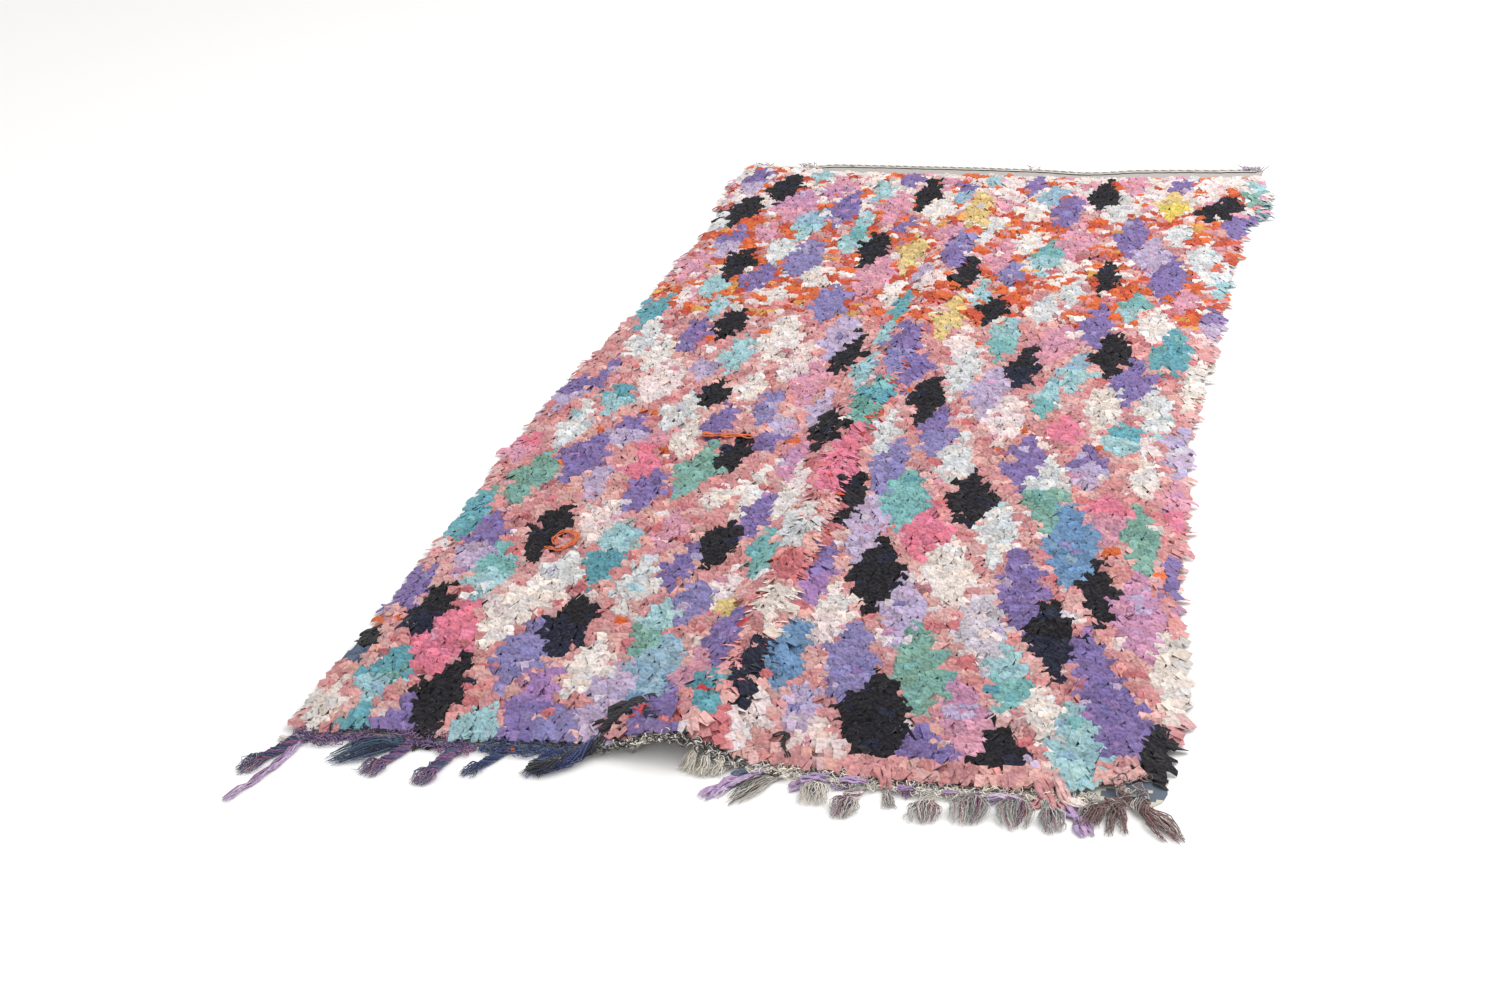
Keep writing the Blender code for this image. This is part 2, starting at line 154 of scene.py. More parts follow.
# The lozenges, charted from the far end: middle, width and height of each, its dye, and where it changes
# half way down, its second dye
Lozenge = namedtuple("Lozenge", "x y wide tall dye lower", defaults=("",))
LOZENGES = [
    Lozenge(-0.580, 1.15, 0.08, 0.22, "violet", "lilac"),
    Lozenge(-0.490, 1.11, 0.09, 0.23, "charcoal"),
    Lozenge(-0.420, 1.20, 0.07, 0.13, "aqua"),
    Lozenge(-0.360, 1.12, 0.09, 0.20, "pink", "orchid"),
    Lozenge(-0.240, 1.09, 0.06, 0.19, "aqua"),
    Lozenge(-0.185, 1.18, 0.07, 0.15, "violet"),
    Lozenge(-0.130, 1.09, 0.07, 0.25, "charcoal"),
    Lozenge(-0.085, 1.18, 0.05, 0.12, "pink"),
    Lozenge(-0.040, 1.10, 0.05, 0.18, "violet", "sky"),
    Lozenge(0.012, 1.19, 0.04, 0.12, "aqua"),
    Lozenge(0.070, 1.05, 0.07, 0.22, "blush", "pink"),
    Lozenge(0.120, 1.17, 0.06, 0.16, "violet"),
    Lozenge(0.170, 1.09, 0.07, 0.18, "sky"),
    Lozenge(0.285, 1.10, 0.08, 0.21, "charcoal"),
    Lozenge(0.350, 1.18, 0.08, 0.18, "pink"),
    Lozenge(0.460, 1.18, 0.06, 0.15, "violet"),
    Lozenge(0.450, 1.045, 0.08, 0.19, "yellow", "lemon"),
    Lozenge(0.540, 1.18, 0.07, 0.13, "blush"),
    Lozenge(0.574, 1.05, 0.052, 0.19, "charcoal"),
    Lozenge(0.538, 1.00, 0.060, 0.12, "charcoal"),
    Lozenge(0.620, 1.16, 0.05, 0.19, "aqua", "mint"),
    Lozenge(-0.550, 0.95, 0.09, 0.22, "charcoal"),
    Lozenge(-0.430, 0.98, 0.13, 0.25, "orchid", "pink"),
    Lozenge(-0.305, 0.97, 0.09, 0.27, "violet"),
    Lozenge(-0.190, 0.99, 0.08, 0.23, "pink"),
    Lozenge(-0.240, 0.90, 0.06, 0.13, "aqua"),
    Lozenge(-0.080, 0.98, 0.08, 0.22, "cream"),
    Lozenge(-0.140, 0.87, 0.05, 0.14, "violet"),
    Lozenge(0.010, 0.98, 0.06, 0.26, "yellow"),
    Lozenge(0.140, 0.99, 0.07, 0.20, "cream"),
    Lozenge(0.220, 0.98, 0.08, 0.25, "violet"),
    Lozenge(0.335, 1.02, 0.07, 0.20, "mist"),
    Lozenge(0.380, 0.84, 0.08, 0.26, "violet"),
    Lozenge(0.598, 0.93, 0.07, 0.17, "violet"),
    Lozenge(0.060, 0.88, 0.06, 0.18, "mist"),
    Lozenge(0.005, 0.74, 0.05, 0.25, "periwinkle", "violet"),
    Lozenge(-0.015, 0.55, 0.05, 0.20, "blush"),
    Lozenge(-0.005, 0.21, 0.06, 0.28, "violet", "periwinkle"),
    Lozenge(-0.015, -0.04, 0.06, 0.22, "teal", "sea_green"),
    Lozenge(-0.015, -0.28, 0.06, 0.26, "hot_pink"),
    Lozenge(-0.005, -0.64, 0.05, 0.10, "rose"),
    Lozenge(-0.590, 0.87, 0.06, 0.15, "mist"),
    Lozenge(-0.370, 0.87, 0.09, 0.20, "sky", "aqua"),
    Lozenge(-0.460, 0.81, 0.07, 0.14, "pink"),
    Lozenge(-0.030, 0.83, 0.07, 0.18, "pink"),
    Lozenge(0.160, 0.80, 0.07, 0.18, "cream"),
    Lozenge(0.260, 0.80, 0.09, 0.24, "pink"),
    Lozenge(0.480, 0.86, 0.06, 0.16, "mist"),
    Lozenge(-0.520, 0.74, 0.07, 0.23, "violet", "lilac"),
    Lozenge(-0.390, 0.70, 0.08, 0.17, "mist"),
    Lozenge(-0.240, 0.78, 0.07, 0.21, "turquoise", "aqua"),
    Lozenge(-0.180, 0.72, 0.08, 0.22, "charcoal"),
    Lozenge(-0.085, 0.70, 0.07, 0.24, "yellow"),
    Lozenge(0.110, 0.71, 0.08, 0.22, "pink"),
    Lozenge(0.210, 0.70, 0.07, 0.22, "turquoise", "aqua"),
    Lozenge(0.435, 0.73, 0.09, 0.24, "lilac"),
    Lozenge(0.540, 0.73, 0.08, 0.20, "mist"),
    Lozenge(-0.465, 0.61, 0.08, 0.21, "charcoal"),
    Lozenge(-0.565, 0.60, 0.07, 0.22, "pink"),
    Lozenge(-0.325, 0.66, 0.11, 0.27, "periwinkle"),
    Lozenge(-0.275, 0.56, 0.07, 0.15, "cream"),
    Lozenge(-0.145, 0.57, 0.10, 0.27, "pink"),
    Lozenge(-0.045, 0.60, 0.05, 0.12, "lilac"),
    Lozenge(0.050, 0.60, 0.08, 0.21, "charcoal"),
    Lozenge(0.148, 0.60, 0.07, 0.17, "periwinkle"),
    Lozenge(0.260, 0.64, 0.05, 0.14, "cream"),
    Lozenge(0.352, 0.60, 0.07, 0.21, "charcoal"),
    Lozenge(0.480, 0.60, 0.09, 0.24, "violet"),
    Lozenge(0.585, 0.62, 0.06, 0.20, "mist", "aqua"),
    Lozenge(-0.395, 0.53, 0.08, 0.20, "violet"),
    Lozenge(-0.485, 0.48, 0.07, 0.14, "aqua"),
    Lozenge(-0.205, 0.42, 0.09, 0.25, "periwinkle"),
    Lozenge(-0.330, 0.44, 0.06, 0.13, "cream"),
    Lozenge(-0.525, 0.42, 0.06, 0.13, "blush"),
    Lozenge(-0.085, 0.47, 0.06, 0.16, "cream"),
    Lozenge(-0.045, 0.41, 0.05, 0.18, "teal"),
    Lozenge(0.100, 0.49, 0.05, 0.14, "aqua"),
    Lozenge(0.142, 0.41, 0.07, 0.18, "charcoal"),
    Lozenge(0.055, 0.35, 0.08, 0.26, "yellow"),
    Lozenge(0.245, 0.41, 0.07, 0.18, "mist"),
    Lozenge(0.290, 0.51, 0.05, 0.15, "mist"),
    Lozenge(0.420, 0.45, 0.07, 0.18, "turquoise", "aqua"),
    Lozenge(0.360, 0.35, 0.08, 0.25, "violet"),
    Lozenge(0.520, 0.49, 0.06, 0.14, "pink"),
    Lozenge(0.580, 0.40, 0.06, 0.20, "violet", "lilac"),
    Lozenge(0.475, 0.36, 0.08, 0.18, "cream"),
    Lozenge(-0.570, 0.34, 0.06, 0.20, "teal"),
    Lozenge(-0.440, 0.37, 0.05, 0.16, "aqua"),
    Lozenge(-0.385, 0.28, 0.08, 0.21, "charcoal"),
    Lozenge(-0.440, 0.21, 0.07, 0.20, "violet"),
    Lozenge(-0.545, 0.19, 0.08, 0.20, "mist"),
    Lozenge(-0.260, 0.22, 0.09, 0.27, "cream"),
    Lozenge(-0.140, 0.25, 0.09, 0.24, "lilac"),
    Lozenge(-0.050, 0.28, 0.05, 0.16, "aqua"),
    Lozenge(0.105, 0.24, 0.06, 0.17, "blush"),
    Lozenge(0.190, 0.27, 0.07, 0.24, "aqua", "turquoise"),
    Lozenge(0.290, 0.25, 0.10, 0.18, "pink"),
    Lozenge(0.410, 0.22, 0.09, 0.23, "charcoal"),
    Lozenge(0.515, 0.23, 0.08, 0.24, "teal"),
    Lozenge(-0.325, 0.13, 0.08, 0.21, "aqua"),
    Lozenge(-0.490, 0.12, 0.07, 0.18, "cream"),
    Lozenge(-0.200, 0.11, 0.08, 0.21, "blush"),
    Lozenge(-0.105, 0.16, 0.07, 0.24, "charcoal"),
    Lozenge(-0.050, 0.09, 0.06, 0.19, "aqua"),
    Lozenge(0.038, 0.10, 0.07, 0.20, "violet"),
    Lozenge(0.140, 0.11, 0.08, 0.26, "mist"),
    Lozenge(0.248, 0.14, 0.07, 0.21, "charcoal", "ink"),
    Lozenge(0.350, 0.13, 0.07, 0.20, "sky", "aqua"),
    Lozenge(0.460, 0.10, 0.09, 0.23, "violet"),
    Lozenge(0.565, 0.11, 0.05, 0.28, "ivory"),
    Lozenge(-0.370, 0.05, 0.07, 0.11, "lilac"),
    Lozenge(-0.565, 0.02, 0.05, 0.20, "violet"),
    Lozenge(-0.440, 0.00, 0.11, 0.22, "blush"),
    Lozenge(-0.255, -0.01, 0.07, 0.16, "cream"),
    Lozenge(-0.150, 0.03, 0.09, 0.22, "pink"),
    Lozenge(-0.320, -0.05, 0.07, 0.16, "charcoal"),
    Lozenge(-0.505, -0.09, 0.08, 0.16, "teal", "aqua"),
    Lozenge(0.200, 0.02, 0.08, 0.26, "lilac"),
    Lozenge(0.310, 0.01, 0.06, 0.20, "aqua", "turquoise"),
    Lozenge(0.420, -0.01, 0.08, 0.21, "ivory"),
    Lozenge(0.510, -0.02, 0.07, 0.22, "mist"),
    Lozenge(0.090, -0.02, 0.08, 0.21, "charcoal"),
    Lozenge(-0.200, -0.09, 0.06, 0.18, "periwinkle"),
    Lozenge(-0.100, -0.08, 0.06, 0.16, "lilac"),
    Lozenge(0.250, -0.09, 0.08, 0.22, "blush"),
    Lozenge(-0.360, -0.13, 0.08, 0.17, "mist"),
    Lozenge(-0.602, -0.07, 0.06, 0.20, "violet", "lilac"),
    Lozenge(-0.270, -0.18, 0.06, 0.18, "violet"),
    Lozenge(-0.060, -0.16, 0.07, 0.21, "charcoal"),
    Lozenge(0.040, -0.16, 0.06, 0.22, "mist"),
    Lozenge(0.135, -0.15, 0.08, 0.21, "violet", "periwinkle"),
    Lozenge(0.360, -0.12, 0.07, 0.13, "hot_pink"),
    Lozenge(0.465, -0.14, 0.08, 0.18, "teal", "aqua"),
    Lozenge(0.560, -0.16, 0.05, 0.20, "lilac"),
    Lozenge(-0.545, -0.21, 0.07, 0.22, "mist"),
    Lozenge(-0.603, -0.30, 0.06, 0.15, "hot_pink", "pink"),
    Lozenge(-0.430, -0.22, 0.08, 0.16, "violet", "lilac"),
    Lozenge(-0.150, -0.20, 0.07, 0.20, "lilac", "violet"),
    Lozenge(-0.315, -0.23, 0.06, 0.17, "ivory"),
    Lozenge(-0.370, -0.27, 0.06, 0.14, "pink", "hot_pink"),
    Lozenge(0.190, -0.25, 0.07, 0.21, "mist"),
    Lozenge(0.310, -0.25, 0.08, 0.23, "violet"),
    Lozenge(0.420, -0.25, 0.07, 0.18, "violet", "lilac"),
    Lozenge(0.515, -0.26, 0.05, 0.19, "cream"),
    Lozenge(-0.480, -0.33, 0.09, 0.21, "violet"),
    Lozenge(-0.205, -0.29, 0.06, 0.18, "charcoal"),
    Lozenge(-0.095, -0.29, 0.05, 0.16, "orchid"),
    Lozenge(0.080, -0.29, 0.07, 0.24, "periwinkle"),
    Lozenge(-0.260, -0.35, 0.08, 0.22, "mint"),
    Lozenge(-0.360, -0.36, 0.09, 0.10, "hot_pink"),
    Lozenge(-0.550, -0.42, 0.09, 0.20, "mint"),
    Lozenge(-0.420, -0.42, 0.06, 0.16, "lilac"),
    Lozenge(-0.325, -0.44, 0.08, 0.18, "violet"),
    Lozenge(-0.065, -0.39, 0.07, 0.24, "blush", "cream"),
    Lozenge(-0.140, -0.41, 0.05, 0.20, "cream"),
    Lozenge(-0.190, -0.45, 0.05, 0.14, "cream"),
    Lozenge(0.030, -0.40, 0.07, 0.22, "charcoal"),
    Lozenge(0.130, -0.40, 0.09, 0.23, "turquoise"),
    Lozenge(0.240, -0.38, 0.09, 0.22, "charcoal"),
    Lozenge(0.360, -0.34, 0.09, 0.29, "mist", "mint"),
    Lozenge(0.470, -0.41, 0.08, 0.20, "hot_pink", "pink"),
    Lozenge(0.575, -0.36, 0.05, 0.24, "pink", "hot_pink"),
    Lozenge(0.530, -0.48, 0.06, 0.22, "mint"),
    Lozenge(-0.025, -0.51, 0.05, 0.20, "mist"),
    Lozenge(0.190, -0.50, 0.10, 0.22, "hot_pink"),
    Lozenge(0.085, -0.50, 0.08, 0.24, "lilac"),
    Lozenge(0.305, -0.49, 0.08, 0.22, "mist"),
    Lozenge(0.425, -0.51, 0.10, 0.29, "blue"),
    Lozenge(-0.598, -0.55, 0.07, 0.20, "teal"),
    Lozenge(-0.365, -0.55, 0.08, 0.17, "blush"),
    Lozenge(-0.105, -0.50, 0.06, 0.20, "violet"),
    Lozenge(-0.240, -0.57, 0.07, 0.18, "pink"),
    Lozenge(-0.440, -0.60, 0.08, 0.22, "charcoal"),
    Lozenge(-0.140, -0.60, 0.08, 0.17, "charcoal"),
    Lozenge(-0.055, -0.61, 0.06, 0.18, "turquoise"),
    Lozenge(-0.545, -0.66, 0.09, 0.22, "violet", "lilac"),
    Lozenge(-0.310, -0.65, 0.09, 0.24, "aqua", "teal"),
    Lozenge(-0.180, -0.68, 0.06, 0.18, "violet"),
    Lozenge(0.035, -0.65, 0.08, 0.25, "violet", "purple"),
    Lozenge(0.135, -0.65, 0.10, 0.25, "charcoal"),
    Lozenge(0.250, -0.62, 0.09, 0.23, "cream"),
    Lozenge(0.370, -0.66, 0.09, 0.27, "violet"),
    Lozenge(0.485, -0.65, 0.07, 0.23, "charcoal"),
    Lozenge(0.590, -0.60, 0.04, 0.18, "violet"),
    Lozenge(0.550, -0.70, 0.10, 0.26, "orchid"),
    Lozenge(-0.490, -0.74, 0.09, 0.20, "turquoise", "aqua"),
    Lozenge(-0.370, -0.74, 0.09, 0.22, "mist", "cream"),
    Lozenge(-0.235, -0.75, 0.08, 0.19, "mist"),
    Lozenge(-0.090, -0.73, 0.06, 0.16, "blush"),
    Lozenge(-0.130, -0.78, 0.06, 0.16, "periwinkle"),
    Lozenge(-0.072, -0.77, 0.07, 0.07, "yellow"),
    Lozenge(0.002, -0.76, 0.038, 0.18, "ivory"),
    Lozenge(0.090, -0.78, 0.08, 0.22, "cream", "blush"),
    Lozenge(0.200, -0.75, 0.07, 0.23, "lilac"),
    Lozenge(0.330, -0.79, 0.10, 0.25, "lavender"),
    Lozenge(0.437, -0.79, 0.09, 0.21, "charcoal", "ink"),
    Lozenge(-0.590, -0.80, 0.05, 0.16, "violet"),
    Lozenge(-0.410, -0.86, 0.09, 0.21, "cream"),
    Lozenge(-0.540, -0.87, 0.08, 0.19, "charcoal", "ink"),
    Lozenge(-0.300, -0.87, 0.10, 0.19, "charcoal", "ink"),
    Lozenge(-0.170, -0.86, 0.08, 0.19, "aqua", "mint"),
    Lozenge(-0.045, -0.84, 0.06, 0.18, "violet"),
    Lozenge(0.050, -0.88, 0.08, 0.23, "blue"),
    Lozenge(0.155, -0.90, 0.09, 0.24, "periwinkle"),
    Lozenge(0.260, -0.90, 0.10, 0.26, "mint"),
    Lozenge(0.500, -0.84, 0.07, 0.18, "violet"),
    Lozenge(0.612, -0.86, 0.06, 0.33, "ivory"),
    Lozenge(0.390, -0.90, 0.08, 0.20, "aqua", "turquoise"),
    Lozenge(-0.480, -0.95, 0.11, 0.25, "hot_pink"),
    Lozenge(-0.345, -0.96, 0.09, 0.22, "periwinkle"),
    Lozenge(-0.230, -0.97, 0.08, 0.18, "cream"),
    Lozenge(-0.120, -0.97, 0.09, 0.21, "sky"),
    Lozenge(-0.065, -0.94, 0.06, 0.14, "pink"),
    Lozenge(0.010, -0.93, 0.040, 0.21, "ink"),
    Lozenge(0.541, -0.960, 0.10, 0.25, "violet"),
    Lozenge(0.450, -0.98, 0.06, 0.20, "cream"),
    Lozenge(0.345, -1.01, 0.09, 0.21, "orchid", "pink"),
    Lozenge(0.215, -1.02, 0.12, 0.27, "charcoal"),
    Lozenge(0.110, -1.02, 0.06, 0.18, "lilac"),
    Lozenge(-0.600, -0.97, 0.05, 0.13, "charcoal", "slate"),
    Lozenge(-0.530, -1.05, 0.08, 0.19, "teal", "aqua"),
    Lozenge(-0.420, -1.09, 0.088, 0.24, "charcoal"),
    Lozenge(-0.280, -1.07, 0.08, 0.22, "purple", "violet"),
    Lozenge(-0.170, -1.06, 0.08, 0.23, "lilac"),
    Lozenge(-0.030, -0.985, 0.045, 0.13, "teal"),
    Lozenge(0.000, -1.06, 0.03, 0.10, "rose"),
    Lozenge(-0.040, -1.110, 0.040, 0.10, "rose"),
    Lozenge(-0.018, -1.12, 0.03, 0.09, "salmon"),
    Lozenge(0.002, -1.12, 0.02, 0.08, "aqua"),
    Lozenge(-0.080, -1.07, 0.08, 0.17, "violet"),
    Lozenge(0.040, -1.05, 0.08, 0.16, "blush"),
    Lozenge(0.503, -1.048, 0.10, 0.23, "aqua"),
    Lozenge(0.400, -1.08, 0.10, 0.17, "charcoal"),
    Lozenge(0.305, -1.105, 0.09, 0.15, "violet"),
    Lozenge(0.612, -1.058, 0.066, 0.18, "charcoal"),
    Lozenge(0.570, -1.085, 0.045, 0.08, "salmon"),
    Lozenge(0.150, -1.11, 0.10, 0.12, "blush"),
    Lozenge(0.455, -1.12, 0.05, 0.08, "lilac"),
    Lozenge(-0.585, -1.13, 0.06, 0.14, "ivory"),
    Lozenge(-0.225, -1.14, 0.07, 0.14, "periwinkle"),
    Lozenge(-0.340, -1.15, 0.08, 0.14, "aqua"),
    Lozenge(-0.465, -1.16, 0.07, 0.11, "violet"),
    Lozenge(-0.520, -1.16, 0.05, 0.10, "teal"),
]
EDGE_ROWS = 2                           # rows of plain ground along the near edge, right of the fold
EDGE_ROWS_SPAN = (0.07, 0.47)
EDGE_ROWS_DYES = ("coral", "coral", "salmon")
LOZENGE_CURVE = 1.15                    # 1 for straight sides, more for fuller ones
LOZENGE_FILL = 0.94                     # how much of its width a lozenge keeps beside its neighbours
LOZENGE_SLANT = 0.20                    # how much a lozenge leans at the near end, right of the fold
SLANT_START = 0.1                       # along Y, where the lean starts; a metre nearer it is whole
SLANT_MIDDLE = 0.3                      # share of the lean at the rug's middle
SLANT_GROWTH = 3.0                      # by which that share grows, for each metre to the right
SLANT_LEAST = 0.2
FOLD_CARRY = (-0.5, 2.0)                # how far the fold carries the pattern, for each metre it lifts
PLACES = np.array([(item.x, item.y) for item in LOZENGES])
HALVES = np.array([(item.wide * LOZENGE_FILL / 2.0, item.tall / 2.0) for item in LOZENGES])

# Zones along the rug: where each starts and what its ground is knotted of
Zone = namedtuple("Zone", "start ground")
ZONES = [
    Zone(-2.0, {"coral": 10, "salmon": 7, "rose": 1.2, "blush": 0.6, "orange": 0.12}),
    Zone(0.34, {"orange": 4, "rust": 4, "coral": 3, "salmon": 2, "rose": 1.5, "cream": 2.5, "amber": 0.5}),
    Zone(0.97, {"cream": 6, "blush": 5, "orange": 2.2, "rust": 1.6, "pink": 2, "salmon": 1}),
]
ZONE_WANDER = 0.03                      # how far a zone's border wanders along the rug
ZONE_WAVES = (23.0, 61.0)               # of that wandering, in radians for each metre
GROUND_CLUMP = 0.022                    # ground of one dye runs in clumps about this wide
CLUMP_SHORT = 0.8                       # a clump's length for its width
CLUMP_WANDER = 0.35                     # how far a line of clumps wanders, for a clump's width
CLUMP_SEEDS = (7919, 104729)            # make each clump's own seed of its column and row

# Dyes that turn up among a lozenge's own rags
FAMILIES = {
    "violet": ("periwinkle", "purple", "lilac"),
    "periwinkle": ("violet", "lilac"),
    "purple": ("violet", "orchid"),
    "lilac": ("lavender", "orchid", "periwinkle"),
    "lavender": ("lilac", "blush"),
    "orchid": ("pink", "lilac"),
    "pink": ("orchid", "blush", "salmon"),
    "hot_pink": ("rose", "pink"),
    "cream": ("blush", "ivory", "mist"),
    "ivory": ("cream", "mist"),
    "blush": ("cream", "pink"),
    "mist": ("cream", "aqua", "lavender"),
    "aqua": ("mist", "sky", "turquoise"),
    "turquoise": ("aqua", "teal"),
    "teal": ("turquoise", "mint"),
    "mint": ("sea_green", "turquoise"),
    "sky": ("aqua", "blue"),
    "blue": ("sky", "periwinkle"),
    "yellow": ("amber", "cream"),
    "charcoal": ("ink",),
    "coral": ("salmon", "rose"),
    "salmon": ("coral", "blush"),
}
FAMILY_SHARE = 0.08                     # of the rags that have such a dye
LIGHT_SPREAD = 0.085                    # how much lighter or darker than its dye a rag is
WARM_SPREAD = 0.035                     # how much warmer or cooler

# The rags' shapes: at each station of a leaf its place along and up, its width and its painted shading:
# darker at the root, as painted shade, and lighter where it stands high, as painted light
Station = namedtuple("Station", "along up wide shade")
FLAP = [
    Station(0.000, 0.002, 0.010, 0.90),
    Station(0.003, 0.019, 0.0145, 1.02),
    Station(0.018, 0.0105, 0.0135, 0.95),
]
LOCK = [
    Station(0.000, 0.001, 0.008, 0.90),
    Station(0.005, 0.0125, 0.0115, 0.98),
    Station(0.014, 0.0175, 0.0105, 1.05),
    Station(0.029, 0.0165, 0.003, 1.04),
]
SIDE_LOCK = [
    Station(0.000, 0.002, 0.008, 0.84),
    Station(0.006, 0.012, 0.014, 0.96),
    Station(0.018, 0.010, 0.013, 1.00),
    Station(0.028, 0.005, 0.007, 1.00),
]
MOUND = ((0.0125, 0.002, 0.90), (0.0058, 0.0125, 0.96))        # reach, height and painted shading of its two rings: the low ring darker, as painted shade at the foot
MOUND_SIDES = 4
MOUND_SIZES = (0.85, 1.15)
KNOT_SHAPES = 16
FLAP_THICK = 0.0008
FLAP_CREASE = 0.0022
EDGE_ANGLE = math.radians(38.0)         # a rag's cut edges and creases stay crisp
FLAP_SIZES = (0.8, 1.2)                 # of a leaf for its drawn size
FLAP_CREASES = (0.3, 1.0)               # of a crease's height for FLAP_CREASE
FLAP_DRIFT = 0.3                        # how far a leaf drifts sideways, for its length
FLAP_TWIST = 0.6                        # how far it turns over to its tip, in radians
FLAP_TONES = (0.90, 1.08)
FLAP_HEIGHTS = (0.82, 1.14)
FLAP_SKEW = 0.35                        # how far from straight across a station lies
FLAP_RIDGE = 0.3                        # how far off the middle its crease lies, for its width
KNOT_TURN = 0.3                         # how far a leaf turns from its knot's own way
LEAVES_APART = 0.005                    # between the middle of a knot and a leaf's root
LEAF_STRAY = 0.004
FLAP_WAYS = (-0.65, 0.6, 0.0)           # which way the leaves of a knot lie, in radians
LOCK_WAYS = (-0.3, 0.3)
SIDE_LOCK_WAYS = (-0.3, 0.35)

# The pile
PILE_PIECES = 5
ROWS_BEFORE = 1.4                       # row pitches from the near edge to the first row
ROWS_ROOM = 0.8                         # row pitches that the pile is longer than its rows
ROW_STRAY = 0.6                         # how far a knot strays along the rug, for KNOT_STRAY
PARTING_LOW = 0.8                       # height of the pile where it parts, for its height elsewhere
CREST_LEAN = 0.5                        # how far the knots lean away from the crest, in radians
CREST_LEAN_WIDTH = 0.05
SIDE_LEANS = (0.9, 0.5)                 # how far the last and the last but one knot lean out over a side

# Longer locks along the crest, the sides and the far right corner
CREST_STEP = 0.0075         # between two ranks of locks along the crest
CREST_LOCKS = 5             # locks in a rank
CREST_SPAN = (-1.02, 1.16)
CREST_ROOTS = ("red", "rose", "rust")
CREST_STRAYS = 0.015        # share of the crest's locks that have such a dye
PARTING = (0.012, 0.030)    # how far beside the crest the pile parts and shows red roots
PARTING_TURN = -0.72        # to its left nearer than this, to its right beyond
PARTING_END = 0.2
PARTING_SHARE = 0.6
SIDE_STEP = 0.012           # between two ragged locks along a side
SIDE_SPAN = (-1.09, 1.22)
CORNER_LOCKS = 24           # long locks at the far right corner
CREST_HALF = 0.007                      # half the width of the ranks along the crest
CREST_FAN = 0.9                         # how far the outer locks of a rank turn outwards, in radians
CREST_TURN = 0.3
CREST_RISES = (0.85, 1.0)
SIDE_INSETS = (0.002, 0.018)            # how far inside the edge a side's locks are rooted
SIDE_SAMPLE = 0.012                     # how far inside that their dye is looked up
SIDE_HEADING = (1.25, 0.4)              # outward turn of a side's locks and its spread, in radians
SIDE_RISES = (0.6, 1.0)
CORNER_X = 0.640                        # where the far right corner's locks stand
CORNER_STRAYS = (-0.012, 0.004)
CORNER_Y = 1.02
CORNER_LENGTH = 0.16
CORNER_HEADING = (1.3, 0.3)             # their outward turn and its spread, in radians
CORNER_DYES = ("cream", "teal", "pink", "cream", "ash", "turquoise")

# The rolled far end
FAR_CORD = 0.0022
FAR_SPAN = (-0.59, 0.626)
FAR_TWINES = (0.009, 0.013, 0.017)      # how far before the edge a line of twining runs
FAR_ENDS = ((-0.60, 34), (-0.49, 16), (0.09, 6), (0.61, 30))       # where yarn ends stand off, how many
FAR_CORD_DYES = ("taupe", "ash", "stone")
FAR_CORD_INSET = 0.004                  # how far before the edge the rolled cord runs
FAR_CORD_HEIGHT = 0.0042
FAR_CORD_WIND = 0.0016                  # how far its plies wind round its middle
FAR_CORD_PITCH = 0.020
FAR_CORD_STEP = 0.006
FAR_TWINE_DYES = ("ash", "wool_white", "soot")
FAR_TWINE_STRAY = 0.0008
FAR_TWINE_STEP = 0.012
FAR_TWINE_THICK = 1.4                   # for YARN
FAR_HEIGHT = 0.0040                     # of the twining and of the yarn ends' roots
FAR_END_DYES = ("ash", "taupe", "ash", "stone", "mauve")
FAR_END_SPREAD = 0.014                  # how far apart the ends of one tuft stand
FAR_END_INSETS = (0.002, 0.012)
FAR_END_LENGTHS = (0.014, 0.036)
FAR_END_TURN = 0.3                      # outward turn of the ends at the corners, in radians
FAR_END_FAN = 0.6
FAR_END_CURL = 0.4
FAR_END_RISE = 0.012
FAR_END_BOW = 1.4                       # more keeps their tips up, less bows them down
FAR_END_STEPS = 4
FAR_SIDES = 6
FAR_END_THICK = 1.6                     # for YARN
FAR_END_TIP = 0.5

# Tassels along the near edge, each from its root. heading is in degrees from straight out, positive to
# the right. The neck is a rope `rope` thick, wound `turns` times; past it the strands swell to a head
# `head` wide, and at their tips keep the share `open` of that width.
Tassel = namedtuple("Tassel", "x heading neck rope length head open turns dyes")
PLUMS = ("plum", "plum", "aubergine", "mulberry")
NAVIES = ("navy", "navy", "midnight", "slate")
GREYS = ("taupe", "stone", "mulberry", "stone", "ash", "sage", "mulberry", "taupe")
WINES = ("wine", "umber", "taupe", "wine", "ash")
CREAMS = ("wool_white", "wool_white", "stone", "taupe")
LEFT_PLUM = [
    Tassel(-0.600, -28, 0.060, 0.020, 0.046, 0.030, 0.45, 1.2, ("aubergine", "petrol", "mulberry", "plum")),
    Tassel(-0.440, -56, 0.020, 0.026, 0.104, 0.040, 0.60, 0.2, ("slate", "petrol", "petrol", "midnight")),
    Tassel(-0.425, -24, 0.056, 0.018, 0.040, 0.034, 0.55, 1.4, PLUMS),
    Tassel(-0.356, -12, 0.058, 0.021, 0.036, 0.034, 0.40, 1.4, PLUMS + ("slate",)),
]
LEFT_NAVY = [
    Tassel(-0.284, -28, 0.044, 0.017, 0.036, 0.022, 0.90, 1.2, NAVIES),
    Tassel(-0.220, -4, 0.026, 0.017, 0.040, 0.022, 1.20, 0.6, NAVIES),
]
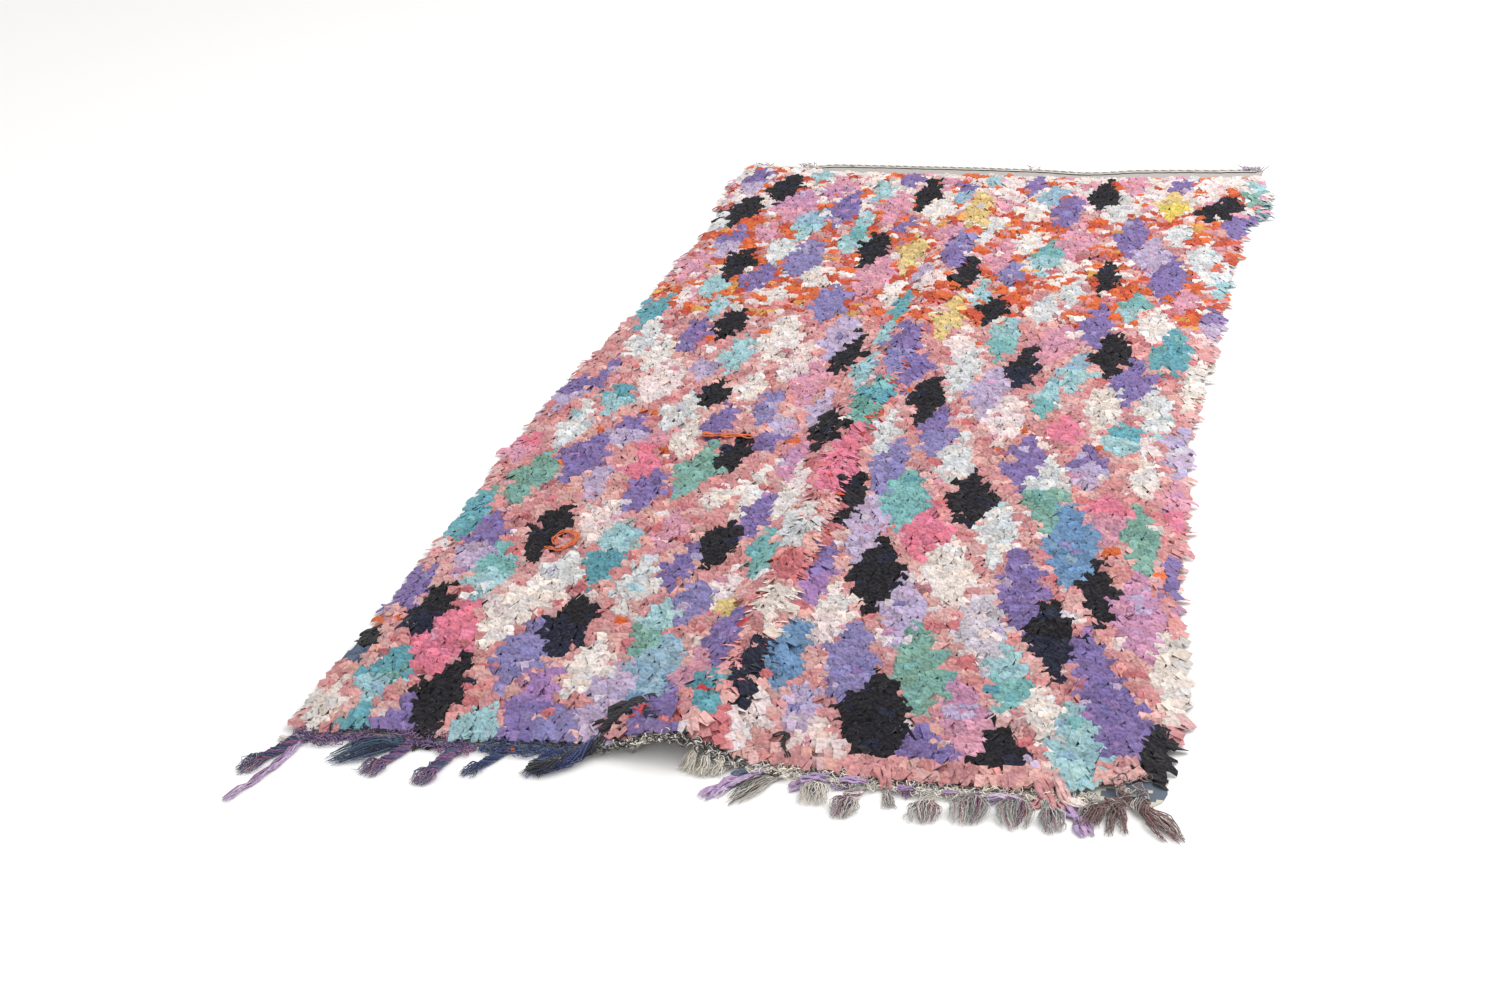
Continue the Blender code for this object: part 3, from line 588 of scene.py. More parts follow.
MIDDLE_CREAM = [
    Tassel(-0.002, -34, 0.004, 0.010, 0.030, 0.022, 1.20, 0.1, CREAMS),
    Tassel(0.012, -16, 0.004, 0.012, 0.032, 0.026, 1.20, 0.1, CREAMS),
    Tassel(0.030, -4, 0.004, 0.012, 0.028, 0.024, 1.20, 0.1, CREAMS),
    Tassel(0.044, -70, 0.014, 0.012, 0.046, 0.022, 1.10, 0.2, CREAMS),
]
RIGHT_GREY = [
    Tassel(0.115, -38, 0.014, 0.018, 0.084, 0.028, 0.40, 0.3, ("stone", "ash", "umber", "taupe", "soot")),
    Tassel(0.169, 8, 0.012, 0.020, 0.050, 0.036, 0.90, 0.3, ("stone", "taupe", "stone", "wool_white")),
    Tassel(0.230, -11, 0.034, 0.022, 0.046, 0.040, 0.65, 0.8, GREYS),
    Tassel(0.268, 14, 0.008, 0.010, 0.042, 0.014, 1.00, 0.2, ("taupe", "ash")),
    Tassel(0.324, 5, 0.024, 0.022, 0.044, 0.042, 0.70, 0.5, ("stone", "taupe", "ash", "mulberry", "stone")),
    Tassel(0.384, 2, 0.008, 0.024, 0.060, 0.050, 0.55, 0.2, GREYS),
    Tassel(0.441, 2, 0.008, 0.022, 0.066, 0.048, 0.50, 0.2, GREYS),
    Tassel(0.480, 16, 0.020, 0.018, 0.056, 0.034, 0.55, 0.4, GREYS),
    Tassel(0.546, -12, 0.010, 0.018, 0.050, 0.030, 0.90, 0.3, WINES),
]
RIGHT_PLUM = [
    Tassel(0.562, -34, 0.010, 0.014, 0.048, 0.018, 1.10, 0.3, WINES),
    Tassel(0.570, 4, 0.014, 0.018, 0.062, 0.026, 0.90, 0.4, WINES),
    Tassel(0.592, 44, 0.030, 0.024, 0.072, 0.028, 0.40, 0.6, WINES),
]

# Each stretch of knotted warp ends along the near edge, with its tassels. Its net of loose loops reaches
# outward by `out` and over the pile by `over`.
Fringe = namedtuple("Fringe", "node start end width out over slot dyes tassels")
EDGE_GREYS = ("taupe", "stone", "wool_white", "stone")
WIRY = ("soot", "wool_white", "ash", "soot")
FRINGES = [
    Fringe("fringe_left_plum", -0.612, -0.324, 0.014, 0.017, 0.014, "plum_yarn", PLUMS, LEFT_PLUM),
    Fringe("fringe_left_navy", -0.324, -0.180, 0.014, 0.016, 0.012, "navy_yarn", NAVIES, LEFT_NAVY),
    Fringe("fringe_middle_cream", -0.180, 0.065, 0.007, 0.009, 0.008, "cream_yarn", WIRY, MIDDLE_CREAM),
    Fringe("fringe_right_grey", 0.065, 0.551, 0.013, 0.009, 0.010, "grey_yarn", EDGE_GREYS, RIGHT_GREY),
    Fringe("fringe_right_plum", 0.551, 0.612, 0.013, 0.012, 0.030, "plum_yarn", WINES, RIGHT_PLUM),
]
YARN = 0.0009               # radius of a fringe strand
YARN_SIDES = 3
STRAND_THICK = (0.9, 1.3)   # of a strand, for YARN
STRAND_TIP = 0.35           # of its tip, for YARN
TAPER = 3                   # a strand keeps its thickness until near its tip
EVEN_ANGLE = 2.4            # between two strands round the middle of a yarn, which fills it evenly
PHASES = (0.0, 6.28)        # where a wave starts
WAVES = (0.0004, 0.0016)    # how far a strand waves from side to side
WAVE_LENGTHS = (0.013, 0.021)
STRAND_GAP = 0.0008         # of a head's width, for each of its strands
NECK_STEP = 0.0055          # along a neck, between two points of a strand
HEAD_STEPS = 7
FALL = 1.2                  # how steeply a strand comes down from the raised edge
LYING = 0.42                # how high a lying tassel is for its width
STITCH = 0.010              # along a knitted neck, between two of its stitches
STITCH_DEPTH = 0.16         # how much wider and narrower it is at a stitch
NECK_TURN = 0.6             # share of its heading that a neck starts out with
HEAD_WIDEST = 0.55          # share of a head's length at which it is widest
HEAD_LOCKS = 4              # locks that a head splits into
LOCK_BEND = 0.07            # how far a lock strays sideways, for its length
LOCK_FAN = 0.10             # how far the outer locks fan out, for their length
CUT_LENGTHS = (0.84, 1.0)   # of a lock, and of a strand in it
TIPS_ROUND = 0.14           # how much shorter the outer strands are
TIPS_LOW = 0.55             # how much lower a head lies at its tips
SPLAY = 0.0028              # how far a strand strays sideways at its tip
LOOSE = 2.6                 # how much farther than the others a loose strand strays
LOOSE_SHARE = 0.14          # of a tassel's strands that are loose
GATHER = 0.45               # how much a lock draws together at its tip
FLOOR_CLEAR = 0.0002        # between a strand and the floor
EDGE_OUT = 0.55             # how far past the cloth the middle of a strip lies, for its width
EDGE_INSET = 0.003          # how far inside the cloth its height is read
TASSEL_OUT = 0.3            # how far past that middle a tassel is rooted, for the strip's width
EDGE_LIFT = 0.004           # of the middle of a strip over the cloth's underside
EDGE_CORD = 0.0013          # radius of the cords that are knotted along the edge
EDGE_CORDS = 9
EDGE_PITCH = 0.026          # along the edge, for one turn of its cords
EDGE_STEP = 0.005           # along the edge, between two points of a cord
EDGE_END = 0.002            # how far before a strip's ends its cords stop
EDGE_SWAY = 0.5             # how unevenly the cords wind, in radians
EDGE_SWAY_WAVE = 90.0       # of that, in radians for each metre
CORD_DEPTHS = (0.3, 1.0)    # how far out of the strip's middle a cord winds
CORD_SPREAD = 0.42          # of the cords across a strip, for its width
CORD_RISE = 0.0030
CORD_STRAY = 0.001
LOOP_PITCH = 0.0015         # along the edge, between loose loops of its yarn
LOOP_SIZES = (0.003, 0.009)
LOOP_END = 0.008            # how far before a strip's ends its loops stop
LOOP_SWEEPS = (3.0, 5.8)    # how far round a loop goes, in radians
LOOP_POINTS = 8
LOOP_HEIGHT = 0.002
LOOP_RISE = 0.003
LOOP_SQUASH = 0.8
LOOP_TIP = 0.8
LOOP_CLIMB = 0.5            # how fast the loops climb over the pile

# Bundles of yarn that lie along the near edge: the middle of each as x, y and height over the cloth's
# underside there, its width, the length of one turn, and its dyes
Bundle = namedtuple("Bundle", "node path wide pitch dyes")
BUNDLES = [
    Bundle(
        "fringe_left_navy",
        ((-0.232, -1.210, 0.007), (-0.207, -1.212, 0.010), (-0.176, -1.188, 0.012),
         (-0.152, -1.152, 0.012), (-0.138, -1.112, 0.012), (-0.131, -1.075, 0.014)),
        0.026, 0.11, ("midnight", "soot", "navy", "soot", "midnight"),
    ),
    Bundle(
        "fringe_middle_cream",
        ((0.018, -1.128, 0.010), (0.038, -1.124, 0.013), (0.058, -1.128, 0.012), (0.078, -1.124, 0.013),
         (0.098, -1.130, 0.010)),
        0.018, 0.09, ("taupe", "stone", "ash", "taupe"),
    ),
    Bundle(
        "fringe_middle_cream",
        ((-0.078, -1.118, 0.004), (-0.060, -1.128, 0.008), (-0.040, -1.136, 0.005), (-0.020, -1.132, 0.008),
         (-0.004, -1.126, 0.005)),
        0.018, 0.05, WIRY,
    ),
]
BUNDLE_GAP = 0.0011         # of a bundle's width, for each of its strands
BUNDLE_STEPS = 5
BUNDLE_WAVE = 420.0         # of its strands' waves, in radians for each metre
BUNDLE_RISE = 0.3           # half a bundle's height, for its width
BUNDLE_THICK = (1.0, 1.4)   # of its strands, for YARN

# Rag strips at the near edge: where each is rooted, which way and how far it runs, how wide it is
Rag = namedtuple("Rag", "x heading length width dye")
EDGE_RAGS = [
    Rag(-0.598, -9, 0.156, 0.0080, "mauve"),
    Rag(-0.594, -8, 0.160, 0.0090, "lilac_cloth"),
    Rag(-0.590, -8, 0.150, 0.0060, "pale_lilac"),
    Rag(0.090, -44, 0.096, 0.018, "lilac_cloth"),
    Rag(0.094, -40, 0.084, 0.010, "pale_lilac"),
    Rag(0.092, -47, 0.090, 0.006, "mauve"),
    Rag(0.172, -52, 0.044, 0.018, "lilac_cloth"),
    Rag(0.225, -66, 0.034, 0.012, "lilac_cloth"),
    Rag(0.305, -40, 0.020, 0.010, "mauve"),
    Rag(0.430, -62, 0.034, 0.010, "pale_lilac"),
    Rag(0.470, -30, 0.040, 0.012, "coral"),
    Rag(0.500, 34, 0.078, 0.020, "lilac_cloth"),
    Rag(0.506, 38, 0.070, 0.008, "mauve"),
    Rag(0.520, 30, 0.036, 0.012, "cream"),
    Rag(-0.474, -58, 0.044, 0.009, "soot"),
    Rag(-0.440, -50, 0.030, 0.008, "wool_white"),
    Rag(-0.388, -64, 0.036, 0.010, "soot"),
    Rag(-0.268, -62, 0.026, 0.010, "orange"),
    Rag(0.080, -60, 0.032, 0.010, "slate"),
    Rag(-0.600, -74, 0.028, 0.014, "cream"),
    Rag(0.108, -40, 0.030, 0.012, "soot"),
]

# Loose rags on the pile and over its edge, as places in plan, lifted off the pile or the floor
Ribbon = namedtuple("Ribbon", "points wide dye lift", defaults=(0.004,))
LOOSE_RAGS = [
    Ribbon(((0.093, -1.107), (0.112, -1.101), (0.112, -1.120), (0.124, -1.141)), 0.008, "soot"),
    Ribbon(
        ((-0.425, -0.667), (-0.400, -0.669), (-0.381, -0.652), (-0.384, -0.624), (-0.406, -0.612),
         (-0.421, -0.636), (-0.404, -0.655)),
        0.009, "orange", 0.006,
    ),
    Ribbon(((-0.285, -0.236), (-0.240, -0.231), (-0.190, -0.228)), 0.014, "orange", 0.006),
    Ribbon(
        ((-0.128, -1.050), (-0.118, -1.070), (-0.134, -1.096), (-0.152, -1.134)),
        0.044, "charcoal", 0.003,
    ),
    Ribbon(((-0.120, -1.072), (-0.104, -1.090), (-0.112, -1.112)), 0.016, "red"),
    Ribbon(((-0.100, -1.086), (-0.088, -1.108), (-0.070, -1.120)), 0.010, "ink"),
    Ribbon(((0.150, -1.174), (0.168, -1.168), (0.188, -1.162)), 0.016, "lilac_cloth", 0.011),
    Ribbon(((0.203, -1.166), (0.222, -1.162), (0.240, -1.167)), 0.012, "lilac_cloth", 0.011),
    Ribbon(((0.284, -1.171), (0.304, -1.166)), 0.011, "mauve", 0.010),
    Ribbon(((0.403, -1.168), (0.425, -1.162), (0.450, -1.166)), 0.010, "pale_lilac", 0.011),
    Ribbon(((0.345, -1.168), (0.362, -1.164)), 0.007, "lilac_cloth", 0.010),
    Ribbon(((0.466, -1.130), (0.484, -1.148), (0.494, -1.176)), 0.020, "coral", 0.008),
    Ribbon(((0.488, -1.124), (0.510, -1.160)), 0.014, "salmon", 0.006),
    Ribbon(((0.500, -1.146), (0.534, -1.164)), 0.014, "cream", 0.008),
    Ribbon(((0.256, -1.140), (0.264, -1.154), (0.264, -1.168)), 0.020, "coral", 0.006),
    Ribbon(((0.118, -1.128), (0.112, -1.152)), 0.016, "salmon"),
]

# How the rag strips lie
RAG_ROOT = 0.013            # width of the strip of warp ends that they are rooted in
RAG_STEPS = 11
RAG_BEND = 0.10             # how far a strip bends to and fro, in radians
RAG_BEND_WAVE = 3.0
RAG_BEND_START = 40.0
RAG_SETTLES = 2.0           # a strip has its full heading past one part in this many of its length
RAG_LOW = 0.0025            # least height of a strip's middle
RAG_LIFT = 0.002            # at its root, and of its folds
RAG_FOLD_WAVE = 9.0
RIBBON_STEPS = 4
STRIP_SIDES = 6
STRIP_FLATNESS = 0.28       # of a pleat's section
PLEATS = 3
PLEAT_SWING = 0.5           # how far the pleats draw together and apart
PLEAT_SWING_WAVE = 150.0
PLEAT_FOLD = 0.0014
PLEAT_FOLD_WAVE = 260.0
PLEAT_STEP = 0.0012         # of the middle pleat over the others
PLEAT_WIDTHS = (0.18, 0.30)             # half a pleat's width, for the strip's
PLEAT_TIP = 0.5

# Seeds
PILE_SEED = 8
CREST_SEED = 21
SIDE_SEED = 33
RAG_SEED = 67
FAR_SEED = 91
FRINGE_SEED = 200           # of the first fringe
FLAP_SEED = 11              # of the shapes
LOCK_SEED = 13
SIDE_LOCK_SEED = 15
CREST_SCATTER_SEED = 40
SIDE_SCATTER_SEED = 50

# Outline of the bare corner of the ground weave, beside the last tassel
CORNER = (
    (0.520, -1.110), (0.600, -1.080), (0.628, -1.086), (0.631, -1.106),
    (0.626, -1.125), (0.612, -1.138), (0.580, -1.146), (0.522, -1.150),
)


def linear(code):
    """An sRGB hex colour as linear red, green, blue."""
    parts = [int(code[i:i + 2], 16) / 255.0 for i in (1, 3, 5)]
    return [p / 12.92 if p <= 0.04045 else ((p + 0.055) / 1.055) ** 2.4 for p in parts]


def add(tree, kind, inputs=None, **settings):
    """Adds a node with its settings; an input takes a value or another node's output."""
    node = tree.nodes.new(kind)
    for name, value in settings.items():
        setattr(node, name, value)
    for name, value in (inputs or {}).items():
        if isinstance(value, bpy.types.NodeSocket):
            tree.links.new(value, node.inputs[name])
        else:
            node.inputs[name].default_value = value
    return node


def link_object(name, mesh):
    item = bpy.data.objects.new(name, mesh)
    bpy.context.scene.collection.objects.link(item)
    return item


def new_finish(name, roughness, specular):
    """A material with its tree and its shader."""
    finish = bpy.data.materials.new(name)
    finish.use_nodes = True
    shader = finish.node_tree.nodes["Principled BSDF"]
    shader.inputs["Roughness"].default_value = roughness
    shader.inputs["Specular IOR Level"].default_value = specular
    return finish, finish.node_tree, shader


def new_tree(name, sockets):
    """An empty tree with its named inputs, each of a kind, and one output."""
    tree = bpy.data.node_groups.new(name, "GeometryNodeTree")
    for label, kind in sockets.items():
        tree.interface.new_socket(label, in_out="INPUT", socket_type="NodeSocket" + kind)
    tree.interface.new_socket("Geometry", in_out="OUTPUT", socket_type="NodeSocketGeometry")
    return tree


def ahead(heading):
    """The level way that lies at an angle from straight towards the near end."""
    return Vector((math.sin(heading), -math.cos(heading), 0.0))


def beside(heading):
    return Vector((math.cos(heading), math.sin(heading), 0.0))


# The cloth that the frame gives
class Cloth:
    """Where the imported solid's edges, underside and top are, read by straight probes."""

    def __init__(self, node):
        mesh = node.data
        self.tree = BVHTree.FromPolygons(
            [vert.co.copy() for vert in mesh.vertices],
            [tuple(face.vertices) for face in mesh.polygons],
        )
        self.low, self.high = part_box(node.name)
        self.y_stations = np.arange(*SCAN_ALONG, SCAN_STATION)
        self.left = self.smooth([self.side(y, self.low.x, 1.0) for y in self.y_stations])
        self.right = self.smooth([self.side(y, self.high.x, -1.0) for y in self.y_stations])
        self.x_stations = np.arange(*SCAN_ACROSS, SCAN_STATION)
        self.near = self.smooth([self.end(x, self.low.y, 1.0, 0.0) for x in self.x_stations])
        self.far = self.smooth([self.end(x, self.high.y, -1.0, 0.0) for x in self.x_stations])
        reach = [self.end(x, self.high.y, -1.0, PILE_SHOWS) for x in self.x_stations]
        self.pile_far = self.smooth(reach) + np.where(self.x_stations < FAR_LEFT, *FAR_OVERHANG)
        self.crest = self.smooth([self.crest_at(y) for y in self.y_stations])

    @staticmethod
    def smooth(values):
        padded = np.pad(np.array(values), 1, mode="edge")
        return (padded[:-2] + 2.0 * padded[1:-1] + padded[2:]) / 4.0

    def under(self, x, y):
        """The underside's place over a spot of the floor, or None beside the cloth."""
        return self.tree.ray_cast(Vector((x, y, PROBE_LOW)), Vector((0.0, 0.0, 1.0)))[0]

    def top(self, x, y):
        return self.tree.ray_cast(Vector((x, y, PROBE_HIGH)), Vector((0.0, 0.0, -1.0)))[0]

    def base(self, x, y):
        """Height of the underside, or of the floor where the cloth lies on it or ends."""
        found = self.under(x, y)
        return 0.0 if found is None or found.z < FLAT else found.z

    def side(self, y, start, way):
        x = start
        while abs(x - start) < SIDE_SEARCH:
            found = self.under(x, y)
            if found is not None and found.z < FLAT:
                return x
            x += way * SCAN_STEP
        return x

    def end(self, x, start, way, height):
        """Where the cloth starts along Y, or where it first stands that high over its underside."""
        y = start
        while abs(y - start) < END_SEARCH:
            found = self.top(x, y)
            if found is not None and found.z - self.base(x, y) > height:
                return y
            y += way * SCAN_STEP
        return y

    def crest_at(self, y):
        return max(np.arange(*CREST_SEARCH), key=lambda x: self.base(x, y))

    def place(self, across, along, far=None):
        """A place by its share of the way across and along the pile, which follows all four edges."""
        y = PILE_START + PILE_LENGTH * along
        left = np.interp(y, self.y_stations, self.left)
        right = np.interp(y, self.y_stations, self.right)
        x = left + (right - left) * across
        near = np.interp(x, self.x_stations, self.near)
        last = np.interp(x, self.x_stations, self.pile_far if far is None else far)
        return float(x), float(near + (last - near) * along)

    def crest_x(self, y):
        return float(np.interp(y, self.y_stations, self.crest))


# Camera, floor and light
def add_camera():
    data = bpy.data.cameras.new("camera")
    data.sensor_width = SENSOR
    data.lens = SENSOR * FOCAL_PIXELS / IMAGE_WIDTH
    camera = link_object("camera", data)
    turn = Matrix.Rotation(CAMERA_TURN, 4, "Z")
    dip = Matrix.Rotation(math.pi / 2.0 - CAMERA_DIP, 4, "X")
    roll = Matrix.Rotation(CAMERA_ROLL, 4, "Z")
    camera.matrix_world = Matrix.Translation(CAMERA_PLACE) @ turn @ dip @ roll
    bpy.context.scene.camera = camera


def add_floor():
    """A plain floor of matt white board, which takes soft shadows and hardly shines."""
    mesh = bpy.data.meshes.new("floor")
    corners = [(x * FLOOR_HALF, y * FLOOR_HALF, 0) for x, y in ((-1, -1), (1, -1), (1, 1), (-1, 1))]
    mesh.from_pydata(corners, [], [(0, 1, 2, 3)])
    board, _, shader = new_finish("matt_white_floor", 0.9, 0.2)
    shader.inputs["Base Color"].default_value = (*linear(FLOOR_WHITE), 1.0)
    mesh.materials.append(board)
    floor = link_object("floor", mesh)


def add_light():
    scene = bpy.context.scene
    scene.view_settings.view_transform = "Standard"
    world = bpy.data.worlds.new("studio")
    world.use_nodes = True
    sky = world.node_tree.nodes["Background"]
    sky.inputs["Color"].default_value = (1.0, 1.0, 1.0, 1.0)
    sky.inputs["Strength"].default_value = ROOM_LIGHT
    scene.world = world
    data = bpy.data.lights.new("softbox", "AREA")
    data.shape = "RECTANGLE"
    data.size = SOFTBOX_SIDE
    data.size_y = SOFTBOX_SIDE
    data.energy = SOFTBOX_POWER
    lamp = link_object("softbox", data)
    lamp.location = SOFTBOX_PLACE
    lamp.rotation_euler = (-SOFTBOX_PLACE).to_track_quat("-Z", "Y").to_euler()


# The lozenges
def pick(weights, rng):
    return rng.choices(list(weights), weights=list(weights.values()))[0]


def ground_at(x, y):
    """A dye for a clump of ground, the same for all knots of the clump."""
    shifted = y + ZONE_WANDER * math.sin(x * ZONE_WAVES[0]) * math.sin(x * ZONE_WAVES[1])
    zone = [item for item in ZONES if item.start <= shifted][-1]
    across = math.floor(x / GROUND_CLUMP + CLUMP_WANDER * math.sin(y * ZONE_WAVES[1]))
    along = math.floor(y / (GROUND_CLUMP * CLUMP_SHORT))
    return pick(zone.ground, random.Random(across * CLUMP_SEEDS[0] + along * CLUMP_SEEDS[1]))


def dye_at(x, y, lift):
    """What dye a knot has: its lozenge's, or the ground's between lozenges."""
    x += FOLD_CARRY[0] * lift
    y += FOLD_CARRY[1] * lift
    nearness = min(max(SLANT_START - y, 0.0), 1.0)
    slant = LOZENGE_SLANT * nearness * min(max(SLANT_MIDDLE + SLANT_GROWTH * x, SLANT_LEAST), 1.0)
    off = np.array((x, y)) - PLACES
    off[:, 0] += slant * off[:, 1]
    reach = ((np.abs(off) / HALVES) ** LOZENGE_CURVE).sum(axis=1)
    best = int(reach.argmin())
    item = LOZENGES[best]
    if reach[best] > 1.0:
        return ground_at(x, y)
    return item.lower if item.lower and y < item.y else item.dye


def tinted(dye, rng):
    """A knot's own colour: its dye, a little lighter or darker, warmer or cooler than the next."""
    if rng.random() < FAMILY_SHARE:
        dye = rng.choice(FAMILIES.get(dye, (dye,)))
    light = rng.gauss(1.0, LIGHT_SPREAD)
    warm = rng.gauss(0.0, WARM_SPREAD)
    red, green, blue = linear(DYES[dye])
    return (red * light * (1 + warm), green * light, blue * light * (1 - warm), 1.0)


# The rags' shapes
def add_flap(bm, shade, stations, heading, start, rng):
    """One end of a knotted rag: a creased strip that rises from its root and lies over."""
    out = ahead(heading)
    side = beside(heading)
    size = rng.uniform(*FLAP_SIZES)
    crease = rng.choice((-1.0, 1.0)) * rng.uniform(*FLAP_CREASES) * FLAP_CREASE
    drift = rng.uniform(-FLAP_DRIFT, FLAP_DRIFT)
    twist = rng.uniform(-FLAP_TWIST, FLAP_TWIST)
    tone = rng.uniform(*FLAP_TONES)
    rungs = []
    for index, station in enumerate(stations):
        along = station.along * size
        centre = Vector(start) + out * along + side * drift * along
        centre.z += station.up * rng.uniform(*FLAP_HEIGHTS)
        roll = twist * index / (len(stations) - 1)
        tilt = (side + out * rng.uniform(-FLAP_SKEW, FLAP_SKEW)) * math.cos(roll)
        tilt += Vector((0.0, 0.0, math.sin(roll)))
        half = tilt * station.wide * rng.uniform(*FLAP_SIZES) / 2.0
        ridge = side * rng.uniform(-FLAP_RIDGE, FLAP_RIDGE) * station.wide
        up = Vector((0.0, 0.0, crease if index else FLAP_THICK))
        rung = [bm.verts.new(corner) for corner in (centre - half, centre + half, centre + ridge + up)]
        # Each point takes its station's painted shading, darker at the root and lighter up high, times the
        # leaf's own random tone
        for vert in rung:
            vert[shade] = station.shade * tone
        rungs.append(rung)
    for low, high in zip(rungs, rungs[1:]):
        for k in range(3):
            bm.faces.new([low[k], low[(k + 1) % 3], high[(k + 1) % 3], high[k]])
    bm.faces.new(list(reversed(rungs[0])))
    bm.faces.new(rungs[-1])


def add_mound(bm, shade, rng):
    """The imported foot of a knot, which closes the gaps between the leaves."""
    start = rng.uniform(0.0, 2.0)
    rings = []
    # Each ring's painted shading: the low ring darker, as painted shade at the knot's foot
    for reach, height, tone in MOUND:
        ring = []
        for k in range(MOUND_SIDES):
            turn = start + 2.0 * math.pi * k / MOUND_SIDES
            far = reach * rng.uniform(*MOUND_SIZES)
            vert = bm.verts.new((far * math.cos(turn), far * math.sin(turn), height))
            vert[shade] = tone
            ring.append(vert)
        rings.append(ring)
    low, high = rings
    for k in range(MOUND_SIDES):
        after = (k + 1) % MOUND_SIDES
        bm.faces.new([low[k], low[after], high[after], high[k]])
    bm.faces.new(list(reversed(low)))
    bm.faces.new(high)


def knot_shapes(name, stations, headings, mound, seed):
    """A hidden collection of knots, each a little different, for the pile to draw from."""
    rng = random.Random(seed)
    group = bpy.data.collections.new(name)
    for number in range(KNOT_SHAPES):
        bm = bmesh.new()
        shade = bm.verts.layers.float.new("shade")
        for heading in headings:
            turned = heading + rng.uniform(-KNOT_TURN, KNOT_TURN)
            start = (LEAVES_APART * math.sin(heading), rng.uniform(-LEAF_STRAY, LEAF_STRAY), 0.0)
            add_flap(bm, shade, stations, turned, start, rng)
        if mound:
            add_mound(bm, shade, rng)
        bmesh.ops.recalc_face_normals(bm, faces=bm.faces)
        mesh = bpy.data.meshes.new(f"{name}_{number}")
        bm.to_mesh(mesh)
        bm.free()
        mesh.shade_smooth()
        mesh.set_sharp_from_angle(angle=EDGE_ANGLE)
        group.objects.link(bpy.data.objects.new(mesh.name, mesh))
    return group


def scatter_tree():
    """Sets a shape out of a collection on each point, turned, sized and tinted as the point says."""
    tree = new_tree("knot_scatter", {
        "Points": "Geometry",
        "Shapes": "Collection",
        "Turn Spread": "Float",
        "Size Spread": "Float",
        "Seed": "Int",
        "Finish": "Material",
    })
    given = add(tree, "NodeGroupInput").outputs
    shapes = add(
        tree, "GeometryNodeCollectionInfo",
        {"Collection": given["Shapes"], "Separate Children": True, "Reset Children": True},
    )
    least = add(tree, "ShaderNodeMath", {0: given["Turn Spread"], 1: -1.0}, operation="MULTIPLY")
    turn = add(
        tree, "FunctionNodeRandomValue",
        {"Min": least.outputs[0], "Max": given["Turn Spread"], "Seed": given["Seed"]},
    )
    heading = add(tree, "GeometryNodeInputNamedAttribute", {"Name": "heading"}, data_type="FLOAT")
    whole = add(tree, "ShaderNodeMath", {0: turn.outputs["Value"], 1: heading.outputs[0]})
    facing = add(tree, "ShaderNodeCombineXYZ", {"Z": whole.outputs[0]})
    small = add(tree, "ShaderNodeMath", {0: 1.0, 1: given["Size Spread"]}, operation="SUBTRACT")
    large = add(tree, "ShaderNodeMath", {0: 1.0, 1: given["Size Spread"]}, operation="ADD")
    seed = add(tree, "ShaderNodeMath", {0: given["Seed"], 1: 1.0}, operation="ADD")
    size = add(
        tree, "FunctionNodeRandomValue",
        {"Min": small.outputs[0], "Max": large.outputs[0], "Seed": seed.outputs[0]},
    )
    rise = add(tree, "GeometryNodeInputNamedAttribute", {"Name": "rise"}, data_type="FLOAT")
    height = add(
        tree, "ShaderNodeMath", {0: size.outputs["Value"], 1: rise.outputs[0]}, operation="MULTIPLY"
    )
    scale = add(
        tree, "ShaderNodeCombineXYZ",
        {"X": size.outputs["Value"], "Y": size.outputs["Value"], "Z": height.outputs[0]},
    )
    sown = add(
        tree, "GeometryNodeInstanceOnPoints",
        {"Points": given["Points"], "Instance": shapes.outputs[0], "Pick Instance": True,
         "Rotation": facing.outputs[0], "Scale": scale.outputs[0]},
    )
    real = add(tree, "GeometryNodeRealizeInstances", {"Geometry": sown.outputs[0]})
    done = add(tree, "GeometryNodeSetMaterial", {"Geometry": real.outputs[0], "Material": given["Finish"]})
    add(tree, "NodeGroupOutput", {"Geometry": done.outputs[0]})
    return tree


def made_plain(item, tree, values):
    """Runs a tree on an object and keeps the result as a plain mesh."""
    modifier = item.modifiers.new("grow", "NODES")
    modifier.node_group = tree
    for socket in tree.interface.items_tree:
        if socket.in_out == "INPUT" and socket.name in values:
            modifier[socket.identifier] = values[socket.name]
    item.update_tag()
    graph = bpy.context.evaluated_depsgraph_get()
    mesh = bpy.data.meshes.new_from_object(item.evaluated_get(graph), depsgraph=graph)
    item.modifiers.remove(modifier)
    item.data = mesh
    mesh.name = item.name
    return item


Knot = namedtuple("Knot", "place heading rise colour")


def knots_object(name, knots):
    """Points for the scatter, one for each knot, with what each says."""
    mesh = bpy.data.meshes.new(name)
    mesh.from_pydata([knot.place for knot in knots], [], [])
    heading = mesh.attributes.new("heading", "FLOAT", "POINT")
    heading.data.foreach_set("value", [knot.heading for knot in knots])
    rise = mesh.attributes.new("rise", "FLOAT", "POINT")
    rise.data.foreach_set("value", [knot.rise for knot in knots])
    dye = mesh.attributes.new("dye", "FLOAT_COLOR", "POINT")
    dye.data.foreach_set("color", [part for knot in knots for part in knot.colour])
    return link_object(name, mesh)


# Yarns and strips
Strand = namedtuple("Strand", "points radius tip dye")


